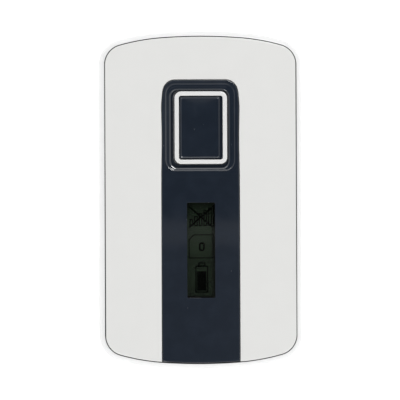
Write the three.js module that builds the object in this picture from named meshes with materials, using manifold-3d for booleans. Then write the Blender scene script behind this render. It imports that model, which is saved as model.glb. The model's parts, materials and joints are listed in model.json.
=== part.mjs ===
// Hand-held ECG event monitor, in millimetres, lying on its back.
// +Z points out of the front face, +Y to the key's end, +X to the right.
// The origin is in the middle of the plane that the back electrodes rest on.

import * as THREE from 'three';
import { mergeVertices } from 'three/addons/utils/BufferGeometryUtils.js';
import Module from 'manifold-3d';

const wasm = await Module();
wasm.setup();

// Driving dimensions: the outline of the front shell
const LID_HALF_WIDTH = 32.95;
const LID_HALF_HEIGHT = 56.45;
const END_ARC_RADIUS = 180;
const END_ARC_DEGREES = 4.4;
const SHOULDER_RADIUS = 72.8;
const CORNER_RADIUS = 6.8;

// Driving dimensions: the housing around it
const SEAM_WIDTH = 0.45;
const RIM_WIDTH = 1.9;
const LID_LEDGE = 0.55;
const BACK_WALL = 1.8;
const BACK_EDGE_RADIUS = 4;
const SIDE_DRAFT = 0.5;
const SIDE_DRAFT_HEIGHT = 7.5;
const RIM_ROUND_HEIGHT = 6.5;
const RIM_STEP = 0.45;
const SEAL_STEP = 0.35;
const LID_BEVEL = 0.35;
const CROWN_DROP = 0.5;

// Driving dimensions: the stack from the back to the front
const ELECTRODE_STANDOFF = 0.7;
const DOOR_THICKNESS = 1.5;
const DOOR_FOAM = 0.25;
const FOAM_FIT = 0.05;
const CELL_DIAMETER = 10.5;
const CELL_CLEARANCE = 0.2;
const BAY_ROOF = 0.8;
const BOARD_THICKNESS = 1.2;
const DISPLAY_STANDOFF = 1.3;
const REFLECTOR_THICKNESS = 0.1;
const GLASS_THICKNESS = 1.5;
const BED_THICKNESS = 0.8;
const PANEL_THICKNESS = 1.2;

// Driving dimensions: the navy strip, its pocket and the key
const STRIP_WIDTH = 27.1;
const STRIP_TOP_Y = 41.7;
const STRIP_CORNER_RADIUS = 3.5;
const STRIP_FIT = 0.1;
const KEY_FROM_STRIP_TOP = 16.6;
const KEY_WIDTH = 18.5;
const KEY_HEIGHT = 25.3;
const KEY_CORNER_RADIUS = 2.3;
const KEY_RING_WIDTH = 1.72;
const KEY_CLEARANCE = 0.3;
const KEY_TRAVEL = 1.0;
const KEY_STOP_GAP = 0.2;
const KEY_BOTTOM_GAP = 0.4;
const KEY_BELOW_CROWN = 0.1;
const PAD_CORNER_RADIUS = 0.8;
const PAD_FIT = 0.05;
const PAD_BEVEL = 0.5;
const PAD_DISH = 0.45;
const PAD_THICKNESS = 1.6;
const POCKET_WIDTH = 24.4;
const POCKET_HEIGHT = 30.2;
const POCKET_CORNER_RADIUS = 3;
const POCKET_DEPTH = 1.6;
const POCKET_SLOPE = 1.4;
const POCKET_FLOOR = 1.0;
const POCKET_WALL = 0.8;
const KEY_RING_CHAMFER = 0.25;
const CARRIER_FLANGE = 1.1;
const CARRIER_WEB = 0.7;
const DOME_RADIUS = 4.8;
const DOME_SKIN = 0.8;
const DOME_CLEARANCE = 0.5;

// Driving dimensions: the display
const DISPLAY_FROM_STRIP_TOP = 59.1;
const WINDOW_WIDTH = 9.7;
const WINDOW_HEIGHT = 33;
const WINDOW_CORNER_RADIUS = 0.5;
const WINDOW_FIT = 0.05;
const WINDOW_FLANGE = 1;
const WINDOW_FLANGE_THICKNESS = 0.5;
const GLASS_MARGIN_X = 1.9;
const GLASS_MARGIN_Y = 2.5;
const BRACKET_WALL = 1.1;
const BRACKET_FIT = 0.1;
const CONNECTOR_WIDTH = 1.6;
const BED_GAP = 2.2;

// Driving dimensions: board, bosses and screws
const BOARD_GAP = 2.2;
const SKIRT_GAP = 0.2;
const SKIRT_THICKNESS = 1.2;
const SKIRT_DEPTH = 1.5;
const BOSS_RADIUS = 3.4;
const LID_BOSS_RADIUS = 2.6;
const SCREW_RADIUS = 1;
const SCREW_CLEARANCE = 0.2;
const THREAD_FIT = 0.05;
const SCREW_HEAD_RADIUS = 2;
const SCREW_HEAD_HEIGHT = 1.4;
const SCREW_HEAD_EDGE = 0.35;
const SCREW_HEAD_SINK = 3.9;
const SCREW_TIP_GAP = 0.8;
const SCREW_SLOT = 0.5;
const BOARD_POST_FROM_SIDE = 8.3;
const BOARD_POST_FROM_BAY = 4;
const BOARD_POST_RADIUS = 2.2;
const BOARD_SCREW_LENGTH = 5;

// Driving dimensions: cells, contacts and their bay
const CELL_LENGTH = 44.5;
const CELL_NUB_LENGTH = 1;
const CELL_NUB_RADIUS = 1.9;
const CELL_EDGE = 0.5;
const CELL_GAP = 0.7;
const COIL_LENGTH = 5.7;
const COIL_WIRE_RADIUS = 0.35;
const COIL_BASE_RADIUS = 3.6;
const COIL_TIP_RADIUS = 2.2;
const COIL_TURNS = 4;
const COIL_END_GAP = 0.15;
const CONTACT_THICKNESS = 0.4;
const CONTACT_WIDTH = 8;
const CONTACT_TAB_WIDTH = 2;
const BAY_WALL = 1.2;
const BAY_END_GAP = 1.5;

// Driving dimensions: the battery door
const DOOR_HALF_WIDTH = 14;
const DOOR_CLEARANCE = 0.15;
const DOOR_OVERLAP = 2.8;
const DOOR_RAIL = 1;
const DOOR_RAIL_THICKNESS = 0.7;
const DOOR_TONGUE_HALF_WIDTH = 6;
const DOOR_TONGUE_LENGTH = 1.6;
const DOOR_SEAT_THICKNESS = 1.2;
const DOOR_SEAT_MARGIN = 1.2;
const DOOR_GRIP_COUNT = 5;
const DOOR_GRIP_PITCH = 2;
const DOOR_GRIP_HALF_WIDTH = 6;
const DOOR_GRIP_DEPTH = 0.4;
const DOOR_GRIP_FROM_TOP = 5.6;

// Driving dimensions: the electrodes
const ELECTRODE_FROM_SIDE = 12.3;
const ELECTRODE_FROM_END = 24.8;
const ELECTRODE_RADIUS = 6.5;
const ELECTRODE_SINK = 0.7;
const ELECTRODE_EDGE = 0.3;
const ELECTRODE_FIT = 0.1;
const SHANK_RADIUS = 2;
const SHANK_LENGTH = 2.2;
const NUT_RADIUS = 3.6;
const NUT_HEIGHT = 1.6;
const PIN_BARREL_RADIUS = 1.2;
const PIN_PLUNGER_RADIUS = 0.6;
const PIN_PLUNGER_LENGTH = 3;

// Driving dimensions: the lead socket
const SOCKET_WIDTH = 14;
const SOCKET_HEIGHT = 6.6;
const SOCKET_MOUTH_WIDTH = 11;
const SOCKET_MOUTH_HEIGHT = 5;
const SOCKET_DEPTH = 8;
const SOCKET_BACK = 2;
const SOCKET_INSET = 0.8;
const SOCKET_FIT = 0.15;
const LEAD_PIN_COUNT = 4;
const LEAD_PIN_PITCH = 2.4;
const LEAD_PIN_RADIUS = 0.35;
const LEAD_PIN_REACH = 2.4;
const LEAD_PIN_TAIL = 1;

// Driving dimensions: label and sound holes
const LABEL_WIDTH = 16;
const LABEL_HEIGHT = 22;
const LABEL_CORNER_RADIUS = 1;
const LABEL_BELOW_ELECTRODES = 4;
const LABEL_THICKNESS = 0.12;
const SOUND_HOLE_RADIUS = 0.6;
const SOUND_HOLE_RING = 2.6;
const SOUND_HOLE_COUNT = 6;

// Driving dimensions: what is soldered under the board
const RADIO_ROW_SHARE = 0.21;
const MEMORY_ROW_SHARE = 0.48;
const CHIP_ROW_SHARE = 0.7;
const ANTENNA_ROW_SHARE = 0.895;
const PROCESSOR_X = -9;
const AMPLIFIER_X = 8;
const RADIO_X = -13;
const SIM_X = 12;
const ANTENNA_X = -15.5;
const CAPACITOR_X = 15.5;
const PROCESSOR_SIZE = [10, 10, 1.2];
const AMPLIFIER_SIZE = [8, 8, 1.2];
const MEMORY_SIZE = [8, 6, 1];
const RADIO_SIZE = [18, 15, 2.4];
const SIM_SIZE = [15, 12, 0.8];
const ANTENNA_SIZE = [10, 4, 1.6];
const CRYSTAL_SIZE = [3.2, 5, 1];
const CAPACITOR_SIZE = [7.3, 4.3, 2.4];
const PROCESSOR_LEGS = 8;
const AMPLIFIER_LEGS = 6;
const MEMORY_LEGS = 4;
const CHIP_LEG_WIDTH = 0.4;
const CHIP_LEG_REACH = 0.8;
const BUZZER_X = 12;
const BUZZER_RADIUS = 5;
const BUZZER_HEIGHT = 3.4;
const BUZZER_PORT_RADIUS = 1;
const SIM_SHELL = 0.4;
const SIM_FIT = 0.1;
const SIM_CORNER_CUT = 2.5;

// Roundness of the facets
const ARC_STEPS = [2, 4, 6];
const ROUND_SIDES = 16;
const LARGE_ROUND_SIDES = 24;
const PIN_SIDES = 8;
const CROWN_STEPS = 12;
const RIM_STEPS = 4;
const BACK_EDGE_STEPS = 3;
const COIL_STEPS_PER_TURN = 8;
const OVERRUN = 1;
const FAR = 80;

// Derived places in the stack, from the back to the front
const backZ = ELECTRODE_STANDOFF;
const floorZ = backZ + BACK_WALL;
const doorInnerZ = backZ + DOOR_THICKNESS;
const cellBottomZ = doorInnerZ + DOOR_FOAM + FOAM_FIT;
const cellZ = cellBottomZ + CELL_DIAMETER / 2;
const bayTopZ = cellBottomZ + CELL_DIAMETER + CELL_CLEARANCE;
const boardBottomZ = bayTopZ + BAY_ROOF;
const boardTopZ = boardBottomZ + BOARD_THICKNESS;
const glassBottomZ = boardTopZ + DISPLAY_STANDOFF;
const lidBottomZ = glassBottomZ + GLASS_THICKNESS;
const panelBottomZ = lidBottomZ + BED_THICKNESS;
const frontZ = panelBottomZ + PANEL_THICKNESS;
const rimRoundZ = frontZ - RIM_STEP - RIM_ROUND_HEIGHT;
const pocketFloorZ = frontZ - POCKET_DEPTH;
const pocketUndersideZ = pocketFloorZ - POCKET_FLOOR;
const keyTopZ = frontZ - KEY_BELOW_CROWN;
const flangeTopZ = pocketUndersideZ - KEY_STOP_GAP;
const flangeBottomZ = boardTopZ + KEY_TRAVEL + KEY_BOTTOM_GAP;
const padBottomZ = keyTopZ - PAD_THICKNESS;
const domeTopZ = padBottomZ - CARRIER_WEB;

// Derived sizes across the face
const housingOffset = SEAM_WIDTH + RIM_WIDTH;
const housingWall = housingOffset + LID_LEDGE;
const outerHalfHeight = LID_HALF_HEIGHT + housingOffset;
const cavityHalfHeight = outerHalfHeight - housingWall;
const boardInset = housingWall + BOARD_GAP;
const boardEndY = outerHalfHeight - boardInset;
const bayStartY = -cavityHalfHeight + BAY_END_GAP + BAY_WALL;
const bayEndY = bayStartY + CELL_LENGTH + COIL_LENGTH + 2 * CONTACT_THICKNESS;
const cellX = (CELL_DIAMETER + CELL_GAP) / 2;
const bayHalfWidth = cellX + CELL_DIAMETER / 2 + CELL_CLEARANCE;
const bayOuterEndY = bayEndY + BAY_WALL;
const doorTopY = bayEndY + DOOR_OVERLAP;
const keyY = STRIP_TOP_Y - KEY_FROM_STRIP_TOP;
const displayY = STRIP_TOP_Y - DISPLAY_FROM_STRIP_TOP;
const electrodeX = LID_HALF_WIDTH + housingOffset - ELECTRODE_FROM_SIDE;
const electrodeY = outerHalfHeight - ELECTRODE_FROM_END;
const labelY = electrodeY - LABEL_BELOW_ELECTRODES;
const glassWidth = WINDOW_WIDTH + 2 * GLASS_MARGIN_X;
const glassHeight = WINDOW_HEIGHT + 2 * GLASS_MARGIN_Y;
const padWidth = KEY_WIDTH - 2 * KEY_RING_WIDTH;
const padHeight = KEY_HEIGHT - 2 * KEY_RING_WIDTH;
const bedTopY = keyY - POCKET_HEIGHT / 2 - POCKET_WALL - BED_GAP;

// Derived places under the board: centre x, centre y, width, length, height
function placeOf(x, y, [w, l, h]) {
  return { x, y, w, l, h };
}

// Rows share the length of board that the bay leaves free
function rowAt(share) {
  return bayOuterEndY + share * (boardEndY - bayOuterEndY);
}

const radioRowY = rowAt(RADIO_ROW_SHARE);
const memoryRowY = rowAt(MEMORY_ROW_SHARE);
const chipRowY = rowAt(CHIP_ROW_SHARE);
const antennaRowY = rowAt(ANTENNA_ROW_SHARE);
const processorPlace = placeOf(PROCESSOR_X, chipRowY, PROCESSOR_SIZE);
const amplifierPlace = placeOf(AMPLIFIER_X, chipRowY, AMPLIFIER_SIZE);
const memoryPlace = placeOf(PROCESSOR_X, memoryRowY, MEMORY_SIZE);
const crystalPlace = placeOf(0, memoryRowY, CRYSTAL_SIZE);
const radioPlace = placeOf(RADIO_X, radioRowY, RADIO_SIZE);
const simPlace = placeOf(SIM_X, radioRowY, SIM_SIZE);
const antennaPlace = placeOf(ANTENNA_X, antennaRowY, ANTENNA_SIZE);
const capacitorPlace = placeOf(CAPACITOR_X, antennaRowY, CAPACITOR_SIZE);

// Materials
function finish(color, roughness, metalness = 0, extra = {}) {
  return new THREE.MeshStandardMaterial({ color, roughness, metalness, ...extra });
}

const materials = {
  whiteShell: finish(0xf1f1ef, 0.4),
  greyShell: finish(0xe2e2e0, 0.2),
  navyPanel: finish(0x1f252e, 0.15),
  seal: finish(0x5c5e60, 0.7),
  ring: finish(0xf4f4f4, 0.3),
  window: finish(0xdfe6e2, 0.05, 0, { transparent: true, opacity: 0.3 }),
  glass: finish(0x222a20, 0.15),
  foam: finish(0x26282a, 0.95),
  board: finish(0x1d5b38, 0.5),
  chip: finish(0x17181a, 0.5),
  steel: finish(0xb9bcc0, 0.3, 1),
  gold: finish(0xd4af55, 0.3, 1),
  cell: finish(0x38506b, 0.35, 0.3),
  greyPlastic: finish(0x9a9da0, 0.5),
  silicone: finish(0xc9c8c0, 0.7),
  label: finish(0xdcdcda, 0.6),
  ceramic: finish(0xe3dccb, 0.6),
};

// Solids and booleans
function solidOf(geometry) {
  const bare = geometry.clone();
  bare.deleteAttribute('normal');
  bare.deleteAttribute('uv');
  const merged = mergeVertices(bare, 1e-5);
  const mesh = new wasm.Mesh({
    numProp: 3,
    vertProperties: new Float32Array(merged.attributes.position.array),
    triVerts: new Uint32Array(merged.index.array),
  });
  return new wasm.Manifold(mesh);
}

function geometryOf(solid) {
  const mesh = solid.getMesh();
  const geometry = new THREE.BufferGeometry();
  geometry.setAttribute('position', new THREE.BufferAttribute(mesh.vertProperties, 3));
  geometry.setIndex(new THREE.BufferAttribute(mesh.triVerts, 1));
  geometry.computeVertexNormals();
  return geometry;
}

function join(solids) {
  return solids.reduce((whole, solid) => whole.add(solid));
}

function cut(solid, ...tools) {
  return tools.reduce((rest, tool) => rest.subtract(tool), solid);
}

function block(x0, x1, y0, y1, z0, z1) {
  const geometry = new THREE.BoxGeometry(x1 - x0, y1 - y0, z1 - z0);
  geometry.translate((x0 + x1) / 2, (y0 + y1) / 2, (z0 + z1) / 2);
  return solidOf(geometry);
}

function column(x, y, z0, z1, radius, sides = ROUND_SIDES) {
  const geometry = new THREE.CylinderGeometry(radius, radius, z1 - z0, sides);
  geometry.rotateX(Math.PI / 2);
  geometry.translate(x, y, (z0 + z1) / 2);
  return solidOf(geometry);
}

// A profile of [radius, height] pairs turned about +Z
function turned(profile, sides = ROUND_SIDES) {
  const points = profile.map(([radius, height]) => new THREE.Vector2(radius, height));
  const geometry = new THREE.LatheGeometry(points, sides);
  geometry.rotateX(Math.PI / 2);
  return solidOf(geometry);
}

// A closed solid through rings of equal point counts, from the lowest to the highest
function loft(rings) {
  const count = rings[0].length;
  const positions = rings.flat().flatMap((point) => [point.x, point.y, point.z]);
  const index = [];
  for (let level = 0; level + 1 < rings.length; level += 1) {
    for (let i = 0; i < count; i += 1) {
      const a = level * count + i;
      const b = level * count + ((i + 1) % count);
      index.push(a, b, b + count, a, b + count, a + count);
    }
  }
  const caps = THREE.ShapeUtils.triangulateShape(rings[0].map((p) => new THREE.Vector2(p.x, p.y)), []);
  const top = THREE.ShapeUtils.triangulateShape(
    rings.at(-1).map((p) => new THREE.Vector2(p.x, p.y)), []);
  const last = (rings.length - 1) * count;
  caps.forEach(([a, b, c]) => index.push(a, c, b));
  top.forEach(([a, b, c]) => index.push(last + a, last + b, last + c));
  const geometry = new THREE.BufferGeometry();
  geometry.setAttribute('position', new THREE.Float32BufferAttribute(positions, 3));
  geometry.setIndex(index);
  return solidOf(geometry);
}

// Height of the crowned front at a distance from the middle line
function crownAt(x) {
  return frontZ - CROWN_DROP * (x / LID_HALF_WIDTH) ** 2;
}

function atHeight(outline, z) {
  return outline.map((p) => new THREE.Vector3(p.x, p.y, z));
}

function underCrown(outline, drop) {
  return outline.map((p) => new THREE.Vector3(p.x, p.y, crownAt(p.x) - drop));
}

// Arcs of one quadrant of the housing's outline, inset from the outermost edge
function quadrantArcs(inset) {
  const grow = housingOffset - inset;
  const radii = [END_ARC_RADIUS, SHOULDER_RADIUS, CORNER_RADIUS].map((radius) => radius + grow);
  const first = THREE.MathUtils.degToRad(END_ARC_DEGREES);
  const middle = (END_ARC_RADIUS - SHOULDER_RADIUS) * Math.sin(first);
  const second = Math.asin(
    (LID_HALF_WIDTH - CORNER_RADIUS - middle) / (SHOULDER_RADIUS - CORNER_RADIUS));
  const stops = [0, first, second, Math.PI / 2];
  const centre = new THREE.Vector2(0, LID_HALF_HEIGHT - END_ARC_RADIUS);
  return radii.map((radius, i) => {
    const arc = { centre: centre.clone(), radius, from: stops[i], to: stops[i + 1] };
    if (i < 2) {
      const shift = radius - radii[i + 1];
      centre.add(new THREE.Vector2(Math.sin(stops[i + 1]), Math.cos(stops[i + 1])).multiplyScalar(shift));
    }
    return arc;
  });
}

// The housing's outline, counter-clockwise, parallel to its outermost edge
function housingOutline(inset) {
  const quadrant = [];
  quadrantArcs(inset).forEach((arc, i) => {
    for (let step = i === 0 ? 0 : 1; step <= ARC_STEPS[i]; step += 1) {
      const angle = arc.from + ((arc.to - arc.from) * step) / ARC_STEPS[i];
      const x = arc.centre.x + arc.radius * Math.sin(angle);
      const y = arc.centre.y + arc.radius * Math.cos(angle);
      quadrant.push(new THREE.Vector2(x, y));
    }
  });
  const flip = (points, sx, sy) => points.map((p) => new THREE.Vector2(sx * p.x, sy * p.y));
  const back = [...quadrant].reverse();
  return [
    ...flip(back, 1, 1).slice(0, -1),
    ...flip(quadrant, -1, 1),
    ...flip(back, -1, -1).slice(0, -1),
    ...flip(quadrant, 1, -1),
  ];
}

function cornerCentre() {
  return quadrantArcs(0)[2].centre;
}

// A rounded rectangle, counter-clockwise, with a fixed number of points
function roundedOutline(x, y, width, height, radius, steps = 4) {
  const points = [];
  const corners = [[1, 1], [-1, 1], [-1, -1], [1, -1]];
  corners.forEach(([sx, sy], quarter) => {
    for (let step = 0; step <= steps; step += 1) {
      const angle = (Math.PI / 2) * (quarter + step / steps);
      const cx = x + sx * (width / 2 - radius);
      const cy = y + sy * (height / 2 - radius);
      points.push(new THREE.Vector2(cx + radius * Math.cos(angle), cy + radius * Math.sin(angle)));
    }
  });
  return points;
}

function prism(outline, z0, z1) {
  return loft([atHeight(outline, z0), atHeight(outline, z1)]);
}

function roundedBlock(x, y, width, height, radius, z0, z1) {
  return prism(roundedOutline(x, y, width, height, radius), z0, z1);
}

// Everything that lies under the crowned front surface
function crownBody() {
  const shape = new THREE.Shape();
  shape.moveTo(-FAR, -FAR);
  shape.lineTo(FAR, -FAR);
  for (let step = CROWN_STEPS; step >= -CROWN_STEPS; step -= 1) {
    const x = (step / CROWN_STEPS) * (LID_HALF_WIDTH + housingOffset);
    if (step === CROWN_STEPS) shape.lineTo(FAR, crownAt(x));
    shape.lineTo(x, crownAt(x));
    if (step === -CROWN_STEPS) shape.lineTo(-FAR, crownAt(x));
  }
  const geometry = new THREE.ExtrudeGeometry(shape, { depth: 2 * FAR, bevelEnabled: false });
  geometry.rotateX(Math.PI / 2);
  geometry.translate(0, FAR, 0);
  return solidOf(geometry);
}

const crown = crownBody();

// The rear housing's outer form, closed across the front
function housingBody() {
  const rings = [];
  for (let step = 0; step <= BACK_EDGE_STEPS; step += 1) {
    const angle = (Math.PI / 2) * (step / BACK_EDGE_STEPS);
    const inset = SIDE_DRAFT + BACK_EDGE_RADIUS * (1 - Math.sin(angle));
    const z = backZ + BACK_EDGE_RADIUS * (1 - Math.cos(angle));
    rings.push(atHeight(housingOutline(inset), z));
  }
  rings.push(atHeight(housingOutline(0), backZ + BACK_EDGE_RADIUS + SIDE_DRAFT_HEIGHT));
  for (let step = 0; step <= RIM_STEPS; step += 1) {
    const angle = (Math.PI / 2) * (step / RIM_STEPS);
    const inset = RIM_WIDTH * (1 - Math.cos(angle));
    const share = Math.sin(angle);
    const outline = housingOutline(inset);
    rings.push(outline.map((p) => {
      const rimZ = crownAt(p.x) - RIM_STEP;
      return new THREE.Vector3(p.x, p.y, rimRoundZ + share * (rimZ - rimRoundZ));
    }));
  }
  rings.push(underCrown(housingOutline(housingWall), RIM_STEP));
  return loft(rings);
}

const housing = housingBody();

// The four places that mirror one place, each with its name
function fourPlaces(x, y) {
  return [
    ['top_right', x, y],
    ['top_left', -x, y],
    ['bottom_left', -x, -y],
    ['bottom_right', x, -y],
  ];
}

const housingScrewPlaces = fourPlaces(cornerCentre().x, cornerCentre().y);
const electrodePlaces = fourPlaces(electrodeX, electrodeY);
const boardPostX = LID_HALF_WIDTH + housingOffset - BOARD_POST_FROM_SIDE;
const boardPostY = bayOuterEndY + BOARD_POST_FROM_BAY;
const boardScrewPlaces = [['right', boardPostX, boardPostY], ['left', -boardPostX, boardPostY]];

// Battery door: the part of the housing's back inside the door's edges, with rails and a tongue
const railZ = doorInnerZ - DOOR_RAIL_THICKNESS;
const doorFarY = -outerHalfHeight - OVERRUN;

function doorSolid() {
  const plate = block(-DOOR_HALF_WIDTH, DOOR_HALF_WIDTH, doorFarY, doorTopY, 0, doorInnerZ);
  const railHalfWidth = DOOR_HALF_WIDTH + DOOR_RAIL;
  const rails = block(-railHalfWidth, railHalfWidth, doorFarY, doorTopY, railZ, doorInnerZ);
  const tongue = block(-DOOR_TONGUE_HALF_WIDTH, DOOR_TONGUE_HALF_WIDTH, doorTopY - OVERRUN,
    doorTopY + DOOR_TONGUE_LENGTH, railZ, doorInnerZ);
  const grips = [];
  for (let i = 0; i < DOOR_GRIP_COUNT; i += 1) {
    const y = doorTopY - DOOR_GRIP_FROM_TOP - i * DOOR_GRIP_PITCH;
    grips.push(block(-DOOR_GRIP_HALF_WIDTH, DOOR_GRIP_HALF_WIDTH, y - DOOR_GRIP_PITCH / 4,
      y + DOOR_GRIP_PITCH / 4, 0, backZ + DOOR_GRIP_DEPTH));
  }
  return cut(housing.intersect(join([plate, rails, tongue])), join(grips));
}

function doorRecess() {
  const wide = DOOR_HALF_WIDTH + DOOR_RAIL + 2 * DOOR_CLEARANCE;
  const narrow = DOOR_HALF_WIDTH + DOOR_CLEARANCE;
  const topY = doorTopY + DOOR_CLEARANCE;
  const tongue = DOOR_TONGUE_HALF_WIDTH + DOOR_CLEARANCE;
  const grooveZ = railZ - DOOR_CLEARANCE;
  return join([
    block(-narrow, narrow, -FAR, topY, -OVERRUN, cellBottomZ),
    block(-wide, wide, -FAR, topY, grooveZ, cellBottomZ),
    block(-tongue, tongue, doorTopY, topY + DOOR_TONGUE_LENGTH, grooveZ, cellBottomZ),
  ]);
}

// Rear shell: a deep tray with the battery bay, bosses and the seam's seat
function rearShell() {
  const seat = prism(housingOutline(RIM_WIDTH), lidBottomZ, FAR);
  const cavity = prism(housingOutline(housingWall), floorZ, FAR);
  const inside = prism(housingOutline(housingWall), floorZ - OVERRUN, FAR);
  const bayOuter = bayHalfWidth + BAY_WALL;
  const seatHalfWidth = DOOR_HALF_WIDTH + DOOR_RAIL + DOOR_SEAT_MARGIN;
  const seatTopY = doorTopY + DOOR_TONGUE_LENGTH + DOOR_SEAT_MARGIN;
  const doorSeat = block(-seatHalfWidth, seatHalfWidth, -FAR, seatTopY, floorZ - OVERRUN,
    cellBottomZ + DOOR_SEAT_THICKNESS).intersect(inside);
  const bay = block(-bayOuter, bayOuter, bayStartY - BAY_WALL, bayOuterEndY, floorZ - OVERRUN,
    boardBottomZ);
  const posts = [];
  const holes = [];
  housingScrewPlaces.forEach(([, x, y]) => {
    posts.push(column(x, y, floorZ - OVERRUN, boardBottomZ, BOSS_RADIUS));
    holes.push(column(x, y, -OVERRUN, backZ + SCREW_HEAD_SINK + SCREW_HEAD_HEIGHT,
      SCREW_HEAD_RADIUS + SCREW_CLEARANCE));
    holes.push(column(x, y, 0, FAR, SCREW_RADIUS + SCREW_CLEARANCE));
  });
  boardScrewPlaces.forEach(([, x, y]) => {
    posts.push(column(x, y, floorZ - OVERRUN, boardBottomZ, BOARD_POST_RADIUS));
    holes.push(column(x, y, boardTopZ - BOARD_SCREW_LENGTH - SCREW_TIP_GAP, FAR,
      SCREW_RADIUS + THREAD_FIT));
  });
  electrodePlaces.forEach(([, x, y]) => {
    holes.push(column(x, y, -OVERRUN, electrodeSeatZ, ELECTRODE_RADIUS + ELECTRODE_FIT,
      LARGE_ROUND_SIDES));
    holes.push(column(x, y, 0, floorZ + OVERRUN, SHANK_RADIUS + ELECTRODE_FIT));
  });
  soundHolePlaces().forEach(([x, y]) => {
    holes.push(column(x, y, 0, floorZ + OVERRUN, SOUND_HOLE_RADIUS, PIN_SIDES));
  });
  const bayHollow = block(-bayHalfWidth, bayHalfWidth, bayStartY, bayEndY, -OVERRUN, bayTopZ);
  const shell = join([cut(housing, seat, cavity), doorSeat, bay, ...posts]);
  return cut(shell, bayHollow, doorRecess(), socketWindow(), contactSlots(), join(holes));
}

function soundHolePlaces() {
  const places = [[BUZZER_X, memoryRowY]];
  for (let i = 0; i < SOUND_HOLE_COUNT; i += 1) {
    const angle = (2 * Math.PI * i) / SOUND_HOLE_COUNT;
    places.push([BUZZER_X + SOUND_HOLE_RING * Math.cos(angle),
      memoryRowY + SOUND_HOLE_RING * Math.sin(angle)]);
  }
  return places;
}

// Lead socket in the top wall, under the board
const socketTopZ = boardBottomZ;
const socketZ = socketTopZ - SOCKET_HEIGHT / 2;
const socketFrontY = outerHalfHeight - SOCKET_INSET;
const socketMouthEndY = socketFrontY - SOCKET_DEPTH;
const leadPinStartY = socketMouthEndY - SOCKET_BACK - LEAD_PIN_TAIL;

function socketWindow() {
  const half = SOCKET_WIDTH / 2 + SOCKET_FIT;
  return block(-half, half, cavityHalfHeight - OVERRUN, FAR,
    socketTopZ - SOCKET_HEIGHT - SOCKET_FIT, socketTopZ + SOCKET_FIT);
}

function leadPinXs() {
  const xs = [];
  for (let i = 0; i < LEAD_PIN_COUNT; i += 1) {
    xs.push((i - (LEAD_PIN_COUNT - 1) / 2) * LEAD_PIN_PITCH);
  }
  return xs;
}

function alongY(solid, x, y, z) {
  return solid.rotate([-90, 0, 0]).translate([x, y, z]);
}

function leadSocket() {
  const body = block(-SOCKET_WIDTH / 2, SOCKET_WIDTH / 2, socketMouthEndY - SOCKET_BACK, socketFrontY,
    socketTopZ - SOCKET_HEIGHT, socketTopZ);
  const mouth = block(-SOCKET_MOUTH_WIDTH / 2, SOCKET_MOUTH_WIDTH / 2, socketMouthEndY, FAR,
    socketZ - SOCKET_MOUTH_HEIGHT / 2, socketZ + SOCKET_MOUTH_HEIGHT / 2);
  const pinHole = column(0, 0, 0, LEAD_PIN_TAIL + SOCKET_BACK + OVERRUN, LEAD_PIN_RADIUS, PIN_SIDES);
  const pinHoles = leadPinXs().map((x) => alongY(pinHole, x, leadPinStartY, socketZ));
  return cut(body, mouth, join(pinHoles));
}

function leadPin(x) {
  const length = LEAD_PIN_TAIL + SOCKET_BACK + LEAD_PIN_REACH;
  const pin = alongY(column(0, 0, 0, length, LEAD_PIN_RADIUS, PIN_SIDES), x, leadPinStartY, socketZ);
  const foot = block(x - LEAD_PIN_RADIUS, x + LEAD_PIN_RADIUS, leadPinStartY - LEAD_PIN_RADIUS,
    leadPinStartY + LEAD_PIN_RADIUS, socketZ - LEAD_PIN_RADIUS, boardBottomZ);
  return pin.add(foot);
}

// Front shell: the light-grey lid with the strip's slot, its skirt and bosses
function lidBlank() {
  const edge = housingOutline(housingOffset);
  return loft([
    atHeight(edge, lidBottomZ),
    underCrown(edge, LID_BEVEL),
    underCrown(housingOutline(housingOffset + LID_BEVEL + OVERRUN), -OVERRUN),
  ]).intersect(crown);
}

const lidSolid = lidBlank();

function stripOutline(fit) {
  const radius = STRIP_CORNER_RADIUS - fit;
  const height = STRIP_TOP_Y - fit + FAR;
  return roundedOutline(0, STRIP_TOP_Y - fit - height / 2, STRIP_WIDTH - 2 * fit, height, radius, 5);
}

function frontShell() {
  const slot = prism(stripOutline(0), panelBottomZ, FAR);
  const openSlot = prism(stripOutline(0), 0, FAR)
    .intersect(block(-FAR, FAR, bedTopY, FAR, 0, FAR));
  const flangeFit = 2 * (WINDOW_FLANGE + 2 * WINDOW_FIT);
  const windowHole = block(-(WINDOW_WIDTH + flangeFit) / 2, (WINDOW_WIDTH + flangeFit) / 2,
    displayY - (WINDOW_HEIGHT + flangeFit) / 2, displayY + (WINDOW_HEIGHT + flangeFit) / 2, 0, FAR);
  const skirtOuter = housingWall + SKIRT_GAP;
  const skirt = prism(housingOutline(skirtOuter), lidBottomZ - SKIRT_DEPTH, lidBottomZ)
    .subtract(prism(housingOutline(skirtOuter + SKIRT_THICKNESS), 0, FAR));
  const bosses = housingScrewPlaces.map(([, x, y]) =>
    column(x, y, boardTopZ, lidBottomZ, LID_BOSS_RADIUS));
  const pilots = housingScrewPlaces.map(([, x, y]) =>
    column(x, y, 0, lidBottomZ, SCREW_RADIUS + THREAD_FIT));
  return cut(join([lidSolid, skirt, ...bosses]), slot, openSlot, windowHole, join(pilots));
}

// Seal in the seam, a little below the rim
function perimeterSeal() {
  const outer = housingOutline(RIM_WIDTH);
  const inner = housingOutline(housingOffset);
  const ring = loft([atHeight(outer, lidBottomZ), underCrown(outer, RIM_STEP + SEAL_STEP)]);
  return ring.subtract(prism(inner, 0, FAR));
}

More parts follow.
